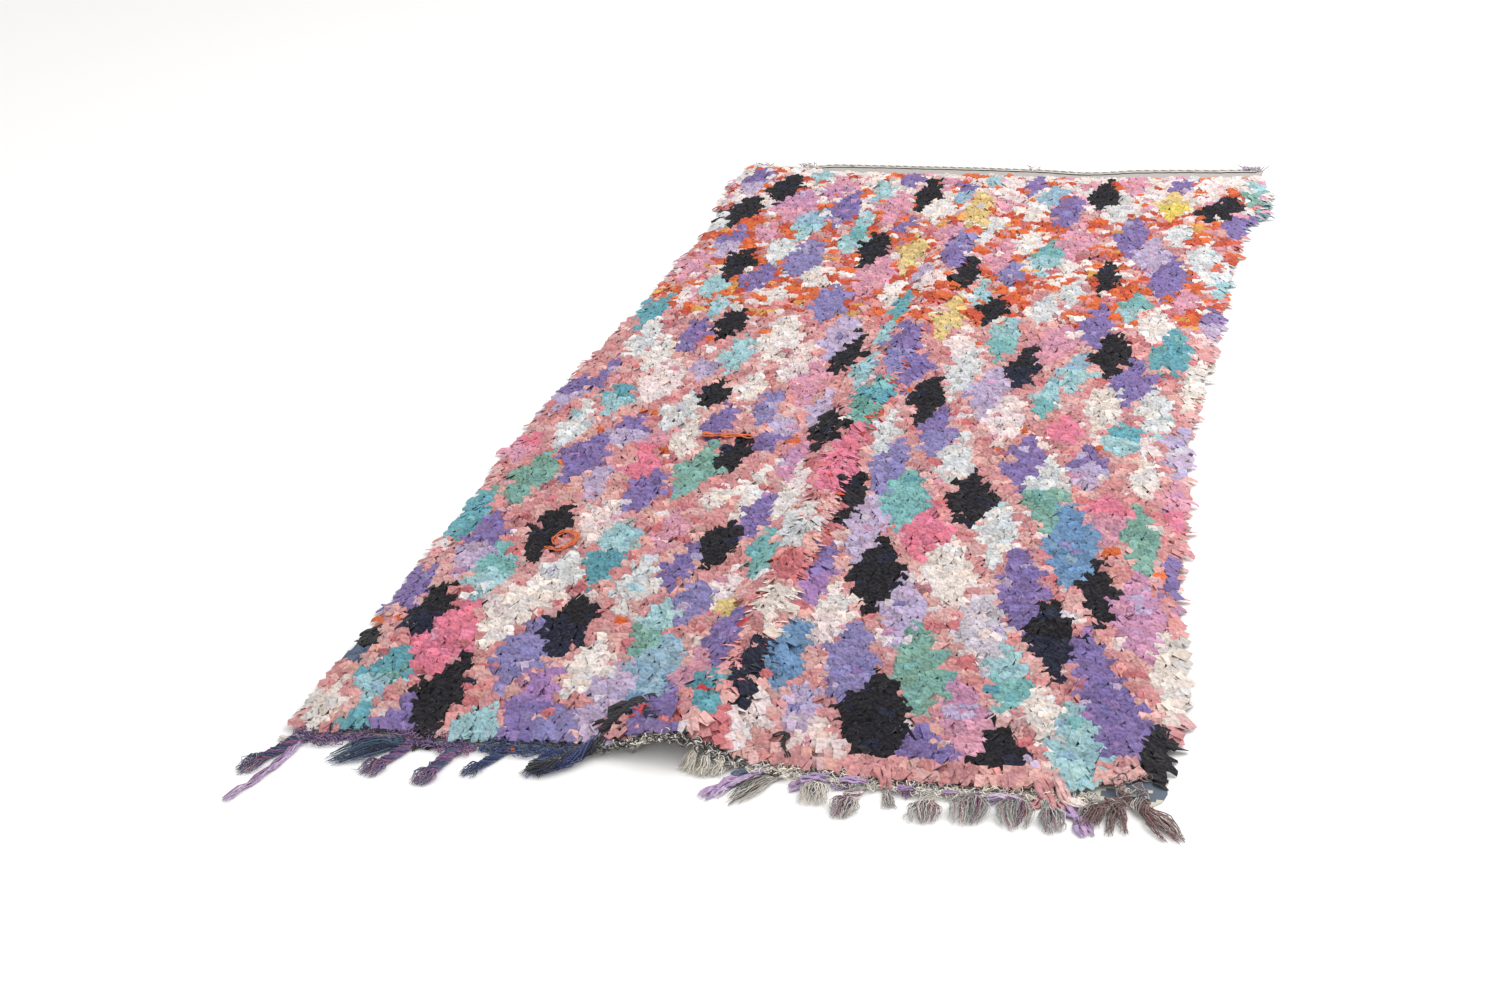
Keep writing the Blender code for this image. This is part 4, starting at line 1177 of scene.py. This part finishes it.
def sweep_tree():
    """Sweeps a round or flattened section along each line, as thick as the line's points say."""
    tree = new_tree("yarn_sweep", {
        "Lines": "Geometry",
        "Sides": "Int",
        "Flatness": "Float",
        "Finish": "Material",
    })
    given = add(tree, "NodeGroupInput").outputs
    lines = add(tree, "GeometryNodeMeshToCurve", {"Mesh": given["Lines"]})
    level = add(tree, "GeometryNodeSetCurveNormal", {"Curve": lines.outputs[0]}, mode="Z_UP")
    section = add(tree, "GeometryNodeCurvePrimitiveCircle", {"Resolution": given["Sides"], "Radius": 1.0})
    squash = add(tree, "ShaderNodeCombineXYZ", {"X": 1.0, "Y": given["Flatness"], "Z": 1.0})
    flat = add(
        tree, "GeometryNodeTransform", {"Geometry": section.outputs["Curve"], "Scale": squash.outputs[0]}
    )
    thick = add(tree, "GeometryNodeInputNamedAttribute", {"Name": "thick"}, data_type="FLOAT")
    swept = add(
        tree, "GeometryNodeCurveToMesh",
        {"Curve": level.outputs[0], "Profile Curve": flat.outputs[0], "Scale": thick.outputs[0],
         "Fill Caps": True},
    )
    smooth = add(tree, "GeometryNodeSetShadeSmooth", {"Geometry": swept.outputs[0]})
    real = add(tree, "GeometryNodeRealizeInstances", {"Geometry": smooth.outputs[0]})
    done = add(tree, "GeometryNodeSetMaterial", {"Geometry": real.outputs[0], "Material": given["Finish"]})
    add(tree, "NodeGroupOutput", {"Geometry": done.outputs[0]})
    return tree


def lines_object(name, strands, rng):
    """Lines for the sweep, with each point's thickness and colour."""
    points = []
    edges = []
    thick = []
    colours = []
    for strand in strands:
        colour = tinted(strand.dye, rng)
        last = len(strand.points) - 1
        for index, point in enumerate(strand.points):
            if index:
                edges.append((len(points) - 1, len(points)))
            points.append(point)
            thick.append(strand.radius + (strand.tip - strand.radius) * (index / last) ** TAPER)
            colours.extend(colour)
    mesh = bpy.data.meshes.new(name)
    mesh.from_pydata(points, edges, [])
    mesh.attributes.new("thick", "FLOAT", "POINT").data.foreach_set("value", thick)
    # The strands get no painted shading
    mesh.attributes.new("shade", "FLOAT", "POINT").data.foreach_set("value", [1.0] * len(points))
    mesh.attributes.new("dye", "FLOAT_COLOR", "POINT").data.foreach_set("color", colours)
    return link_object(name, mesh)


def edge_root(cloth, x, width):
    """Middle of the knotted edge at x, on the height of the cloth there."""
    y = float(np.interp(x, cloth.x_stations, cloth.near))
    return Vector((x, y - width * EDGE_OUT, cloth.base(x, y + EDGE_INSET) + EDGE_LIFT))


def tassel_strands(root, tassel, rng):
    """The strands of one tassel: wound into a rope along its neck, then flaring to a soft head."""
    strands = []
    heading = math.radians(tassel.heading)
    side = beside(heading)
    count = round(tassel.head / STRAND_GAP)
    neck_steps = max(3, round(tassel.neck / NECK_STEP))
    locks = [(rng.gauss(0.0, LOCK_BEND), rng.uniform(*CUT_LENGTHS)) for _ in range(HEAD_LOCKS + 1)]
    for number in range(count):
        angle = EVEN_ANGLE * number
        depth = math.sqrt((number + 0.5) / count)
        lock = int((1.0 + depth * math.cos(angle + 2.0 * math.pi * tassel.turns)) / 2.0 * HEAD_LOCKS)
        centre = 2.0 * (lock + 0.5) / HEAD_LOCKS - 1.0
        reach = tassel.length * (1.0 - TIPS_ROUND * depth * depth) * locks[lock][1]
        reach *= rng.uniform(*CUT_LENGTHS)
        stray = LOOSE if rng.random() < LOOSE_SHARE else 1.0
        wave = rng.uniform(*WAVES) * stray
        phase = rng.uniform(*PHASES)
        length = rng.uniform(*WAVE_LENGTHS)
        splay = rng.gauss(0.0, SPLAY) * stray
        points = []
        for step in range(neck_steps + HEAD_STEPS + 1):
            share = max(0.0, (step - neck_steps) / HEAD_STEPS)
            wound = min(1.0, step / neck_steps)
            along = tassel.neck * wound + reach * share
            turn = angle + 2.0 * math.pi * tassel.turns * wound
            stitch = STITCH_DEPTH * math.sin(2.0 * math.pi * along / STITCH + 2.0 * angle)
            rope = tassel.rope * (1.0 + stitch * (1.0 - share))
            swell = math.sin(math.pi / 2.0 * min(1.0, share / HEAD_WIDEST))
            closing = max(0.0, (share - HEAD_WIDEST) / (1.0 - HEAD_WIDEST))
            swell *= 1.0 - (1.0 - tassel.open) * closing ** 2
            wide = (rope * (1.0 - share) ** 2 + tassel.head * swell) / 2.0
            ripple = wave * math.sin(phase + 2.0 * math.pi * along / length) * wound
            place = root + ahead(heading * (NECK_TURN + (1.0 - NECK_TURN) * wound)) * along
            across = depth * math.cos(turn)
            across += (centre - across) * GATHER * share * share
            bend = (locks[lock][0] + LOCK_FAN * centre) * reach * share * share
            place += side * (across * wide + bend + ripple + splay * share ** 3)
            floor = max(YARN + FLOOR_CLEAR, root.z - EDGE_LIFT - FALL * along)
            high = LYING * wide * (1.0 + depth * math.sin(turn)) * (1.0 - TIPS_LOW * share * share)
            place.z = floor + high + abs(ripple) / 2.0
            points.append(place)
        dye = tassel.dyes[number % len(tassel.dyes)]
        strands.append(Strand(points, YARN * rng.uniform(*STRAND_THICK), YARN * STRAND_TIP, dye))
    return strands


def edge_strands(cloth, fringe, rng):
    """The knotted warp ends: cords that wind round each other along the edge, with a net of loops."""
    strands = []
    length = fringe.end - fringe.start
    steps = round(length / EDGE_STEP)
    for number in range(EDGE_CORDS):
        phase = 2.0 * math.pi * number / EDGE_CORDS
        depth = rng.uniform(*CORD_DEPTHS)
        points = []
        for step in range(steps + 1):
            x = fringe.start + EDGE_END + (length - 2.0 * EDGE_END) * step / steps
            turn = phase + 2.0 * math.pi * (x - fringe.start) / EDGE_PITCH
            turn += EDGE_SWAY * math.sin(x * EDGE_SWAY_WAVE)
            root = edge_root(cloth, x, fringe.width)
            across = depth * math.cos(turn) * fringe.width * CORD_SPREAD
            high = CORD_RISE * depth * math.sin(turn)
            points.append(root + Vector((rng.uniform(-CORD_STRAY, CORD_STRAY), across, high)))
        strands.append(Strand(points, EDGE_CORD, EDGE_CORD, fringe.dyes[number % len(fringe.dyes)]))
    for _ in range(round(length / LOOP_PITCH)):
        x = rng.uniform(fringe.start + LOOP_END, fringe.end - LOOP_END)
        up = rng.uniform(-fringe.out, fringe.over)
        root = edge_root(cloth, x, fringe.width) + Vector((0.0, up, LOOP_CLIMB * max(0.0, up)))
        size = rng.uniform(*LOOP_SIZES)
        start = rng.uniform(*PHASES)
        sweep = rng.uniform(*LOOP_SWEEPS)
        points = []
        for step in range(LOOP_POINTS):
            turn = start + step / (LOOP_POINTS - 1) * sweep
            high = LOOP_HEIGHT + LOOP_RISE * math.sin(turn * 2.0 + start)
            points.append(root + Vector((math.cos(turn) * size, math.sin(turn) * size * LOOP_SQUASH, high)))
        strands.append(Strand(points, YARN, YARN * LOOP_TIP, rng.choice(fringe.dyes)))
    return strands


def walked(path):
    """Each point of a path, the level way across it there, and how far along the path it lies."""
    along = 0.0
    for index, point in enumerate(path):
        before = path[max(0, index - 1)]
        after = path[min(len(path) - 1, index + 1)]
        along += (point - before).length
        yield point, (after - before).cross(Vector((0.0, 0.0, 1.0))).normalized(), along


def bundle_strands(cloth, bundle, rng):
    """A loose rope of yarn along its path."""
    knots = [Vector((x, y, cloth.base(x, y) + lift)) for x, y, lift in bundle.path]
    path = smooth_path(knots, BUNDLE_STEPS)
    strands = []
    count = round(bundle.wide / BUNDLE_GAP)
    for number in range(count):
        depth = math.sqrt((number + 0.5) / count)
        phase = EVEN_ANGLE * number
        wave = rng.uniform(*WAVES)
        points = []
        for point, level, along in walked(path):
            turn = phase + 2.0 * math.pi * along / bundle.pitch
            across = depth * math.cos(turn) * bundle.wide / 2.0
            across += wave * math.sin(along * BUNDLE_WAVE + phase)
            high = depth * math.sin(turn) * bundle.wide * BUNDLE_RISE
            points.append(point + level * across + Vector((0.0, 0.0, max(high, YARN - point.z))))
        dye = bundle.dyes[number % len(bundle.dyes)]
        strands.append(Strand(points, YARN * rng.uniform(*BUNDLE_THICK), YARN, dye))
    return strands


def smooth_path(knots, steps):
    """Points along a soft curve through the knots."""
    ends = [knots[0]] + list(knots) + [knots[-1]]
    points = []
    for before, low, high, after in zip(ends, ends[1:], ends[2:], ends[3:]):
        square = 2.0 * before - 5.0 * low + 4.0 * high - after
        cube = 3.0 * low - before - 3.0 * high + after
        for step in range(steps):
            t = step / steps
            points.append(0.5 * (2.0 * low + (high - before) * t + square * t * t + cube * t ** 3))
    return points + [knots[-1]]


def build_fringe(cloth, fringe, tree, finish, seed):
    """All the yarn of one stretch of the near edge, as one piece."""
    rng = random.Random(seed)
    strands = edge_strands(cloth, fringe, rng)
    for tassel in fringe.tassels:
        root = edge_root(cloth, tassel.x, fringe.width)
        strands += tassel_strands(root - Vector((0.0, fringe.width * TASSEL_OUT, 0.0)), tassel, rng)
    for bundle in BUNDLES:
        if bundle.node == fringe.node:
            strands += bundle_strands(cloth, bundle, rng)
    item = lines_object(fringe.node + "_yarn", strands, rng)
    return made_plain(item, tree, {"Sides": YARN_SIDES, "Flatness": 1.0, "Finish": finish})


def pleated(path, wide, dye, rng):
    """A crumpled strip: a few narrow pleats side by side along its path, each with its own folds."""
    strands = []
    for number in range(PLEATS):
        centre = (number + 0.5) / PLEATS - 0.5
        phase = rng.uniform(*PHASES)
        points = []
        for point, level, along in walked(path):
            across = wide * (centre * (1.0 + PLEAT_SWING * math.sin(along * PLEAT_SWING_WAVE + phase)))
            fold = PLEAT_FOLD * math.sin(along * PLEAT_FOLD_WAVE + phase) + PLEAT_STEP * (number % 2)
            points.append(point + level * across + Vector((0.0, 0.0, fold)))
        radius = wide * rng.uniform(*PLEAT_WIDTHS)
        strands.append(Strand(points, radius, radius * PLEAT_TIP, dye))
    return strands


def build_edge_rags(cloth, tree, finish):
    """Rag strips that are tied into the near edge and trail over the floor."""
    rng = random.Random(RAG_SEED)
    strands = []
    for rag in EDGE_RAGS:
        root = edge_root(cloth, rag.x, RAG_ROOT)
        heading = math.radians(rag.heading)
        points = []
        for step in range(RAG_STEPS + 1):
            share = step / RAG_STEPS
            along = rag.length * share
            bend = RAG_BEND * math.sin(RAG_BEND_WAVE * share + rag.x * RAG_BEND_START)
            settled = 0.5 + 0.5 * min(1.0, share * RAG_SETTLES)
            place = root + ahead(heading * settled + bend) * along
            place.z = max(RAG_LOW, root.z + RAG_LIFT - FALL * along)
            place.z += RAG_LIFT * math.sin(share * RAG_FOLD_WAVE) ** 2
            points.append(place)
        strands += pleated(points, rag.width, rag.dye, rng)
    for ribbon in LOOSE_RAGS:
        knots = [Vector((x, y, (cloth.top(x, y) or Vector()).z + ribbon.lift)) for x, y in ribbon.points]
        strands += pleated(smooth_path(knots, RIBBON_STEPS), ribbon.wide, ribbon.dye, rng)
    item = lines_object("edge_rags", strands, rng)
    return made_plain(item, tree, {"Sides": STRIP_SIDES, "Flatness": STRIP_FLATNESS, "Finish": finish})


# Finishes
def fringe_wool():
    """Handspun wool ends: matt, hairy, each ply with its own light and dark flecks."""
    finish, tree, shader = new_finish("handspun_wool_yarn", 0.92, 0.2)
    place = add(tree, "ShaderNodeTexCoord").outputs["Object"]
    dye = add(tree, "ShaderNodeAttribute", attribute_name="dye").outputs["Color"]
    # Flecks about 2 mm long
    fleck = add(tree, "ShaderNodeTexNoise", {"Vector": place, "Scale": 480.0, "Detail": 2.0})
    tone = add(tree, "ShaderNodeMapRange", {0: fleck.outputs[0], 1: 0.3, 2: 0.7, 3: 0.84, 4: 1.32})
    colour = add(tree, "ShaderNodeVectorMath", {0: dye, 1: tone.outputs[0]}, operation="MULTIPLY")
    tree.links.new(colour.outputs[0], shader.inputs["Base Color"])
    bump = add(tree, "ShaderNodeBump", {"Strength": 0.6, "Distance": 0.0005, "Height": fleck.outputs[0]})
    tree.links.new(bump.outputs[0], shader.inputs["Normal"])
    shader.inputs["Sheen Weight"].default_value = 0.3
    return finish


def rag_cloth():
    """Cut cotton and viscose rags: matt, soft-edged, with small creases and worn patches; each leaf painted
    darker at its root, as painted shade, and paler on its raised parts, as painted light.
    """
    finish, tree, shader = new_finish("cut_cotton_rags", 0.88, 0.25)
    place = add(tree, "ShaderNodeTexCoord").outputs["Object"]
    dye = add(tree, "ShaderNodeAttribute", attribute_name="dye").outputs["Color"]
    shade = add(tree, "ShaderNodeAttribute", attribute_name="shade").outputs["Fac"]
    # Worn patches about 8 mm across
    wear = add(tree, "ShaderNodeTexNoise", {"Vector": place, "Scale": 120.0, "Detail": 3.0})
    fade = add(tree, "ShaderNodeMapRange", {0: wear.outputs[0], 1: 0.3, 2: 0.7, 3: 0.74, 4: 1.00})
    # The worn patches times each leaf's painted shading and random tone
    both = add(tree, "ShaderNodeMath", {0: fade.outputs[0], 1: shade}, operation="MULTIPLY")
    colour = add(tree, "ShaderNodeVectorMath", {0: dye, 1: both.outputs[0]}, operation="MULTIPLY")
    tree.links.new(colour.outputs[0], shader.inputs["Base Color"])
    # Crumples about 6 mm across, and creases about 3 mm apart on them
    crumple = add(tree, "ShaderNodeTexVoronoi", {"Vector": place, "Scale": 160.0, "Randomness": 1.0})
    folds = add(
        tree, "ShaderNodeBump", {"Strength": 0.9, "Distance": 0.0032, "Height": crumple.outputs["Distance"]}
    )
    crease = add(tree, "ShaderNodeTexNoise", {"Vector": place, "Scale": 330.0, "Detail": 2.0})
    bump = add(
        tree, "ShaderNodeBump",
        {"Strength": 0.6, "Distance": 0.0010, "Height": crease.outputs[0], "Normal": folds.outputs[0]},
    )
    tree.links.new(bump.outputs[0], shader.inputs["Normal"])
    shader.inputs["Sheen Weight"].default_value = 0.08
    shader.inputs["Sheen Roughness"].default_value = 0.6
    return finish


def stepped_wool():
    """Tapestry-woven wool of the bare corner: slate blue with cream steps, dull and flat."""
    finish, tree, shader = new_finish("stepped_tapestry_wool", 0.92, 0.2)
    place = add(tree, "ShaderNodeTexCoord").outputs["Object"]
    # Figures about 25 mm across, cut in steps of 6 mm
    step = add(tree, "ShaderNodeVectorMath", {0: place, 1: (0.006, 0.006, 1.0)}, operation="SNAP")
    figure = add(tree, "ShaderNodeTexNoise", {"Vector": step.outputs[0], "Scale": 38.0, "Detail": 0.0})
    cream = add(tree, "ShaderNodeMath", {0: figure.outputs[0], 1: 0.56}, operation="GREATER_THAN")
    steps = add(tree, "ShaderNodeValToRGB", {"Fac": cream.outputs[0]})
    steps.color_ramp.elements[0].color = (*linear(CORNER_BLUE), 1.0)
    steps.color_ramp.elements[1].color = (*linear(CORNER_CREAM), 1.0)
    # Weft 2 mm apart
    weft = add(
        tree, "ShaderNodeTexWave", {"Vector": place, "Scale": 157.0, "Distortion": 1.0},
        bands_direction="Y",
    )
    bump = add(tree, "ShaderNodeBump", {"Strength": 0.8, "Distance": 0.001, "Height": weft.outputs["Fac"]})
    tree.links.new(steps.outputs["Color"], shader.inputs["Base Color"])
    tree.links.new(bump.outputs[0], shader.inputs["Normal"])
    return finish


def ground_wool():
    """Plain-woven wool ground: taupe warps with fine crosswise ribs, dull and a little fuzzy; painted
    darker in the grooves between the ribs, as painted shade.
    """
    finish, tree, shader = new_finish("plain_woven_wool", 0.92, 0.2)
    place = add(tree, "ShaderNodeTexCoord").outputs["Object"]
    # Weft ribs 6 mm apart; the same bands darken the colour between the ribs, as painted shade
    ribs = add(
        tree, "ShaderNodeTexWave", {"Vector": place, "Scale": 53.0, "Distortion": 1.5, "Detail": 2.0},
        bands_direction="Y",
    )
    groove_shade_ramp = add(tree, "ShaderNodeValToRGB", {"Fac": ribs.outputs["Fac"]})
    groove_shade_ramp.color_ramp.elements[0].color = (*linear(WEAVE_GROOVE_PAINTED_SHADE), 1.0)
    groove_shade_ramp.color_ramp.elements[1].color = (*linear(WEAVE_PALE), 1.0)
    tree.links.new(groove_shade_ramp.outputs["Color"], shader.inputs["Base Color"])
    bump = add(tree, "ShaderNodeBump", {"Strength": 0.8, "Distance": 0.001, "Height": ribs.outputs["Fac"]})
    tree.links.new(bump.outputs[0], shader.inputs["Normal"])
    return finish


# The pieces
def build_weave(cloth, finish):
    """The ground weave: one thin sheet over the whole rug, on the fold as well."""
    columns, rows = WEAVE_GRID
    bm = bmesh.new()
    grid = []
    for row in range(rows + 1):
        line = []
        for column in range(columns + 1):
            x, y = cloth.place(column / columns, row / rows, cloth.far)
            inside = min(max(y, WEAVE_ENDS[0]), WEAVE_ENDS[1])
            line.append(bm.verts.new((x, y, cloth.base(x, inside) + WEAVE_CLEAR)))
        grid.append(line)
    for low, high in zip(grid, grid[1:]):
        for k in range(columns):
            bm.faces.new([low[k], low[k + 1], high[k + 1], high[k]])
    mesh = bpy.data.meshes.new("ground_weave")
    bm.to_mesh(mesh)
    bm.free()
    mesh.materials.append(finish)
    mesh.shade_smooth()
    item = link_object("ground_weave", mesh)
    solid = item.modifiers.new("thickness", "SOLIDIFY")
    solid.thickness = WEAVE_THICK
    solid.offset = 1.0
    return item


def build_pile(cloth, finish, tree):
    """Rows of rag knots over the whole pile, in a few pieces from the near end to the far one."""
    rng = random.Random(PILE_SEED)
    rows = round(PILE_LENGTH / ROW_PITCH)
    columns = round(PILE_WIDTH / KNOT_PITCH)
    knots = []
    for row in range(rows):
        for column in range(columns):
            x, y = cloth.place((column + 0.5) / columns, (row + ROWS_BEFORE) / (rows + ROWS_ROOM))
            x += rng.uniform(-1, 1) * KNOT_STRAY
            y += rng.uniform(-1, 1) * KNOT_STRAY * ROW_STRAY
            base = cloth.base(x, y)
            dye = dye_at(x, y, base)
            if row < EDGE_ROWS and EDGE_ROWS_SPAN[0] < x < EDGE_ROWS_SPAN[1]:
                dye = rng.choice(EDGE_ROWS_DYES)
            top = cloth.top(x, y)
            low, high = PILE_HEIGHTS
            height = PILE_HEIGHT if top is None else min(max(top.z - base, low), high)
            off = x - cloth.crest_x(y)
            beyond = off if y > PARTING_TURN else -off
            if PARTING[0] < beyond < PARTING[1] and y < PARTING_END and rng.random() < PARTING_SHARE:
                dye = rng.choice(CREST_ROOTS)
                height *= PARTING_LOW
            lean = CREST_LEAN * math.copysign(math.exp(-(abs(off) / CREST_LEAN_WIDTH) ** 2), off)
            edge = min(column, columns - 1 - column)
            if edge < len(SIDE_LEANS):
                lean += SIDE_LEANS[edge] * (-1.0 if column < columns / 2 else 1.0)
            place = (x, y, base + WEAVE_CLEAR + WEAVE_THICK)
            knots.append(Knot(place, lean, height / PILE_HEIGHT, tinted(dye, rng)))
    shapes = knot_shapes("rag_knot", FLAP, FLAP_WAYS, True, FLAP_SEED)
    pieces = []
    share = math.ceil(len(knots) / PILE_PIECES)
    for part in range(PILE_PIECES):
        name = f"rag_pile_{part + 1}"
        item = knots_object(name, knots[part * share:(part + 1) * share])
        values = {"Shapes": shapes, "Turn Spread": 0.5, "Size Spread": 0.14, "Seed": part, "Finish": finish}
        pieces.append(made_plain(item, tree, values))
    return pieces


def build_crest(cloth, finish, tree):
    """Longer locks that stand open along the crest of the fold and fall to both sides."""
    rng = random.Random(CREST_SEED)
    knots = []
    start, end = CREST_SPAN
    for rank in range(round((end - start) / CREST_STEP)):
        for number in range(CREST_LOCKS):
            y = start + (rank + rng.random()) * CREST_STEP
            off = (number + 0.5) / CREST_LOCKS * 2.0 - 1.0
            x = cloth.crest_x(y) + off * CREST_HALF
            base = cloth.base(x, y)
            dye = dye_at(x, y, base)
            if rng.random() < CREST_STRAYS:
                dye = rng.choice(CREST_ROOTS)
            heading = off * CREST_FAN + rng.gauss(0.0, CREST_TURN)
            place = (x, y, base + WEAVE_CLEAR + WEAVE_THICK)
            knots.append(Knot(place, heading, rng.uniform(*CREST_RISES), tinted(dye, rng)))
    shapes = knot_shapes("crest_lock", LOCK, LOCK_WAYS, False, LOCK_SEED)
    values = {"Shapes": shapes, "Turn Spread": 0.2, "Size Spread": 0.1, "Seed": CREST_SCATTER_SEED,
              "Finish": finish}
    return made_plain(knots_object("crest_locks", knots), tree, values)


def build_sides(cloth, finish, tree):
    """Ragged leaves that hang out over the floor along both sides."""
    rng = random.Random(SIDE_SEED)
    knots = []
    start, end = SIDE_SPAN
    for way, line in ((-1.0, cloth.left), (1.0, cloth.right)):
        for number in range(round((end - start) / SIDE_STEP)):
            y = start + (number + rng.random()) * SIDE_STEP
            x = float(np.interp(y, cloth.y_stations, line)) - way * rng.uniform(*SIDE_INSETS)
            dye = dye_at(x - way * SIDE_SAMPLE, y, 0.0)
            heading = way * rng.gauss(*SIDE_HEADING)
            knots.append(Knot((x, y, WEAVE_CLEAR), heading, rng.uniform(*SIDE_RISES), tinted(dye, rng)))
    for number in range(CORNER_LOCKS):
        x = CORNER_X + rng.uniform(*CORNER_STRAYS)
        y = CORNER_Y + CORNER_LENGTH * number / CORNER_LOCKS
        dye = rng.choice(CORNER_DYES)
        knots.append(Knot((x, y, WEAVE_CLEAR), rng.gauss(*CORNER_HEADING), 1.0, tinted(dye, rng)))
    shapes = knot_shapes("side_lock", SIDE_LOCK, SIDE_LOCK_WAYS, False, SIDE_LOCK_SEED)
    values = {"Shapes": shapes, "Turn Spread": 0.3, "Size Spread": 0.2, "Seed": SIDE_SCATTER_SEED,
              "Finish": finish}
    return made_plain(knots_object("side_locks", knots), tree, values)


def build_far_edge(cloth, tree, finish):
    """The far end of the ground weave: a rolled cord along the edge and tufts of yarn ends."""
    rng = random.Random(FAR_SEED)
    strands = []
    for number, dye in enumerate(FAR_CORD_DYES):
        points = []
        for x in np.arange(*FAR_SPAN, FAR_CORD_STEP):
            y = float(np.interp(x, cloth.x_stations, cloth.far)) - FAR_CORD_INSET
            turn = 2.0 * math.pi * (number / len(FAR_CORD_DYES) + x / FAR_CORD_PITCH)
            high = FAR_CORD_HEIGHT + cloth.base(x, y) + FAR_CORD_WIND * math.sin(turn)
            points.append(Vector((x, y + FAR_CORD_WIND * math.cos(turn), high)))
        strands.append(Strand(points, FAR_CORD, FAR_CORD, dye))
    for back, dye in zip(FAR_TWINES, FAR_TWINE_DYES):
        points = []
        for x in np.arange(*FAR_SPAN, FAR_TWINE_STEP):
            y = float(np.interp(x, cloth.x_stations, cloth.far)) - back + rng.gauss(0.0, FAR_TWINE_STRAY)
            points.append(Vector((x, y, FAR_HEIGHT + cloth.base(x, y))))
        strands.append(Strand(points, YARN * FAR_TWINE_THICK, YARN * FAR_TWINE_THICK, dye))
    for middle, count in FAR_ENDS:
        for _ in range(count):
            x = middle + rng.gauss(0.0, FAR_END_SPREAD)
            y = float(np.interp(x, cloth.x_stations, cloth.far)) - rng.uniform(*FAR_END_INSETS)
            heading = math.pi - math.copysign(FAR_END_TURN, x) + rng.gauss(0.0, FAR_END_FAN)
            length = rng.uniform(*FAR_END_LENGTHS)
            root = Vector((x, y, FAR_HEIGHT + cloth.base(x, y)))
            points = []
            for step in range(FAR_END_STEPS + 1):
                share = step / FAR_END_STEPS
                rise = Vector((0.0, 0.0, FAR_END_RISE * share * (FAR_END_BOW - share)))
                points.append(root + ahead(heading + FAR_END_CURL * share) * length * share + rise)
            dye = rng.choice(FAR_END_DYES)
            strands.append(Strand(points, YARN * FAR_END_THICK, YARN * FAR_END_TIP, dye))
    item = lines_object("rolled_end", strands, rng)
    return made_plain(item, tree, {"Sides": FAR_SIDES, "Flatness": 1.0, "Finish": finish})


def build_corner(finish):
    """The bare corner of the ground, flat on the floor."""
    bm = bmesh.new()
    rings = [[bm.verts.new((x, y, z)) for x, y in CORNER] for z in (WEAVE_CLEAR, WEAVE_CLEAR + WEAVE_THICK)]
    bm.faces.new(list(reversed(rings[0])))
    bm.faces.new(rings[1])
    for k in range(len(CORNER)):
        after = (k + 1) % len(CORNER)
        bm.faces.new([rings[0][k], rings[0][after], rings[1][after], rings[1][k]])
    bmesh.ops.recalc_face_normals(bm, faces=bm.faces)
    mesh = bpy.data.meshes.new("bare_corner")
    bm.to_mesh(mesh)
    bm.free()
    mesh.materials.append(finish)
    return link_object("bare_corner", mesh)


def main():
    cloth = Cloth(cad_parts["rag_pile_rug"])
    add_camera()
    add_floor()
    add_light()
    tree = scatter_tree()
    rags = rag_cloth()
    weave = build_weave(cloth, ground_wool())
    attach(weave, "root")
    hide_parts("rag_pile_rug")
    crest = build_crest(cloth, rags, tree)
    sides = build_sides(cloth, rags, tree)
    for item in build_pile(cloth, rags, tree) + [crest, sides]:
        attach(item, "root")
        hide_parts("rag_pile_rug")
    sweep = sweep_tree()
    wool = fringe_wool()
    for number, fringe in enumerate(FRINGES):
        item = build_fringe(cloth, fringe, sweep, wool, FRINGE_SEED + number)
        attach(item, "root")
        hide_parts(fringe.node)
    roll = build_far_edge(cloth, sweep, wool)
    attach(roll, "root")
    strips = build_edge_rags(cloth, sweep, rags)
    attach(strips, "root")
    corner = build_corner(stepped_wool())
    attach(corner, "root")


main()
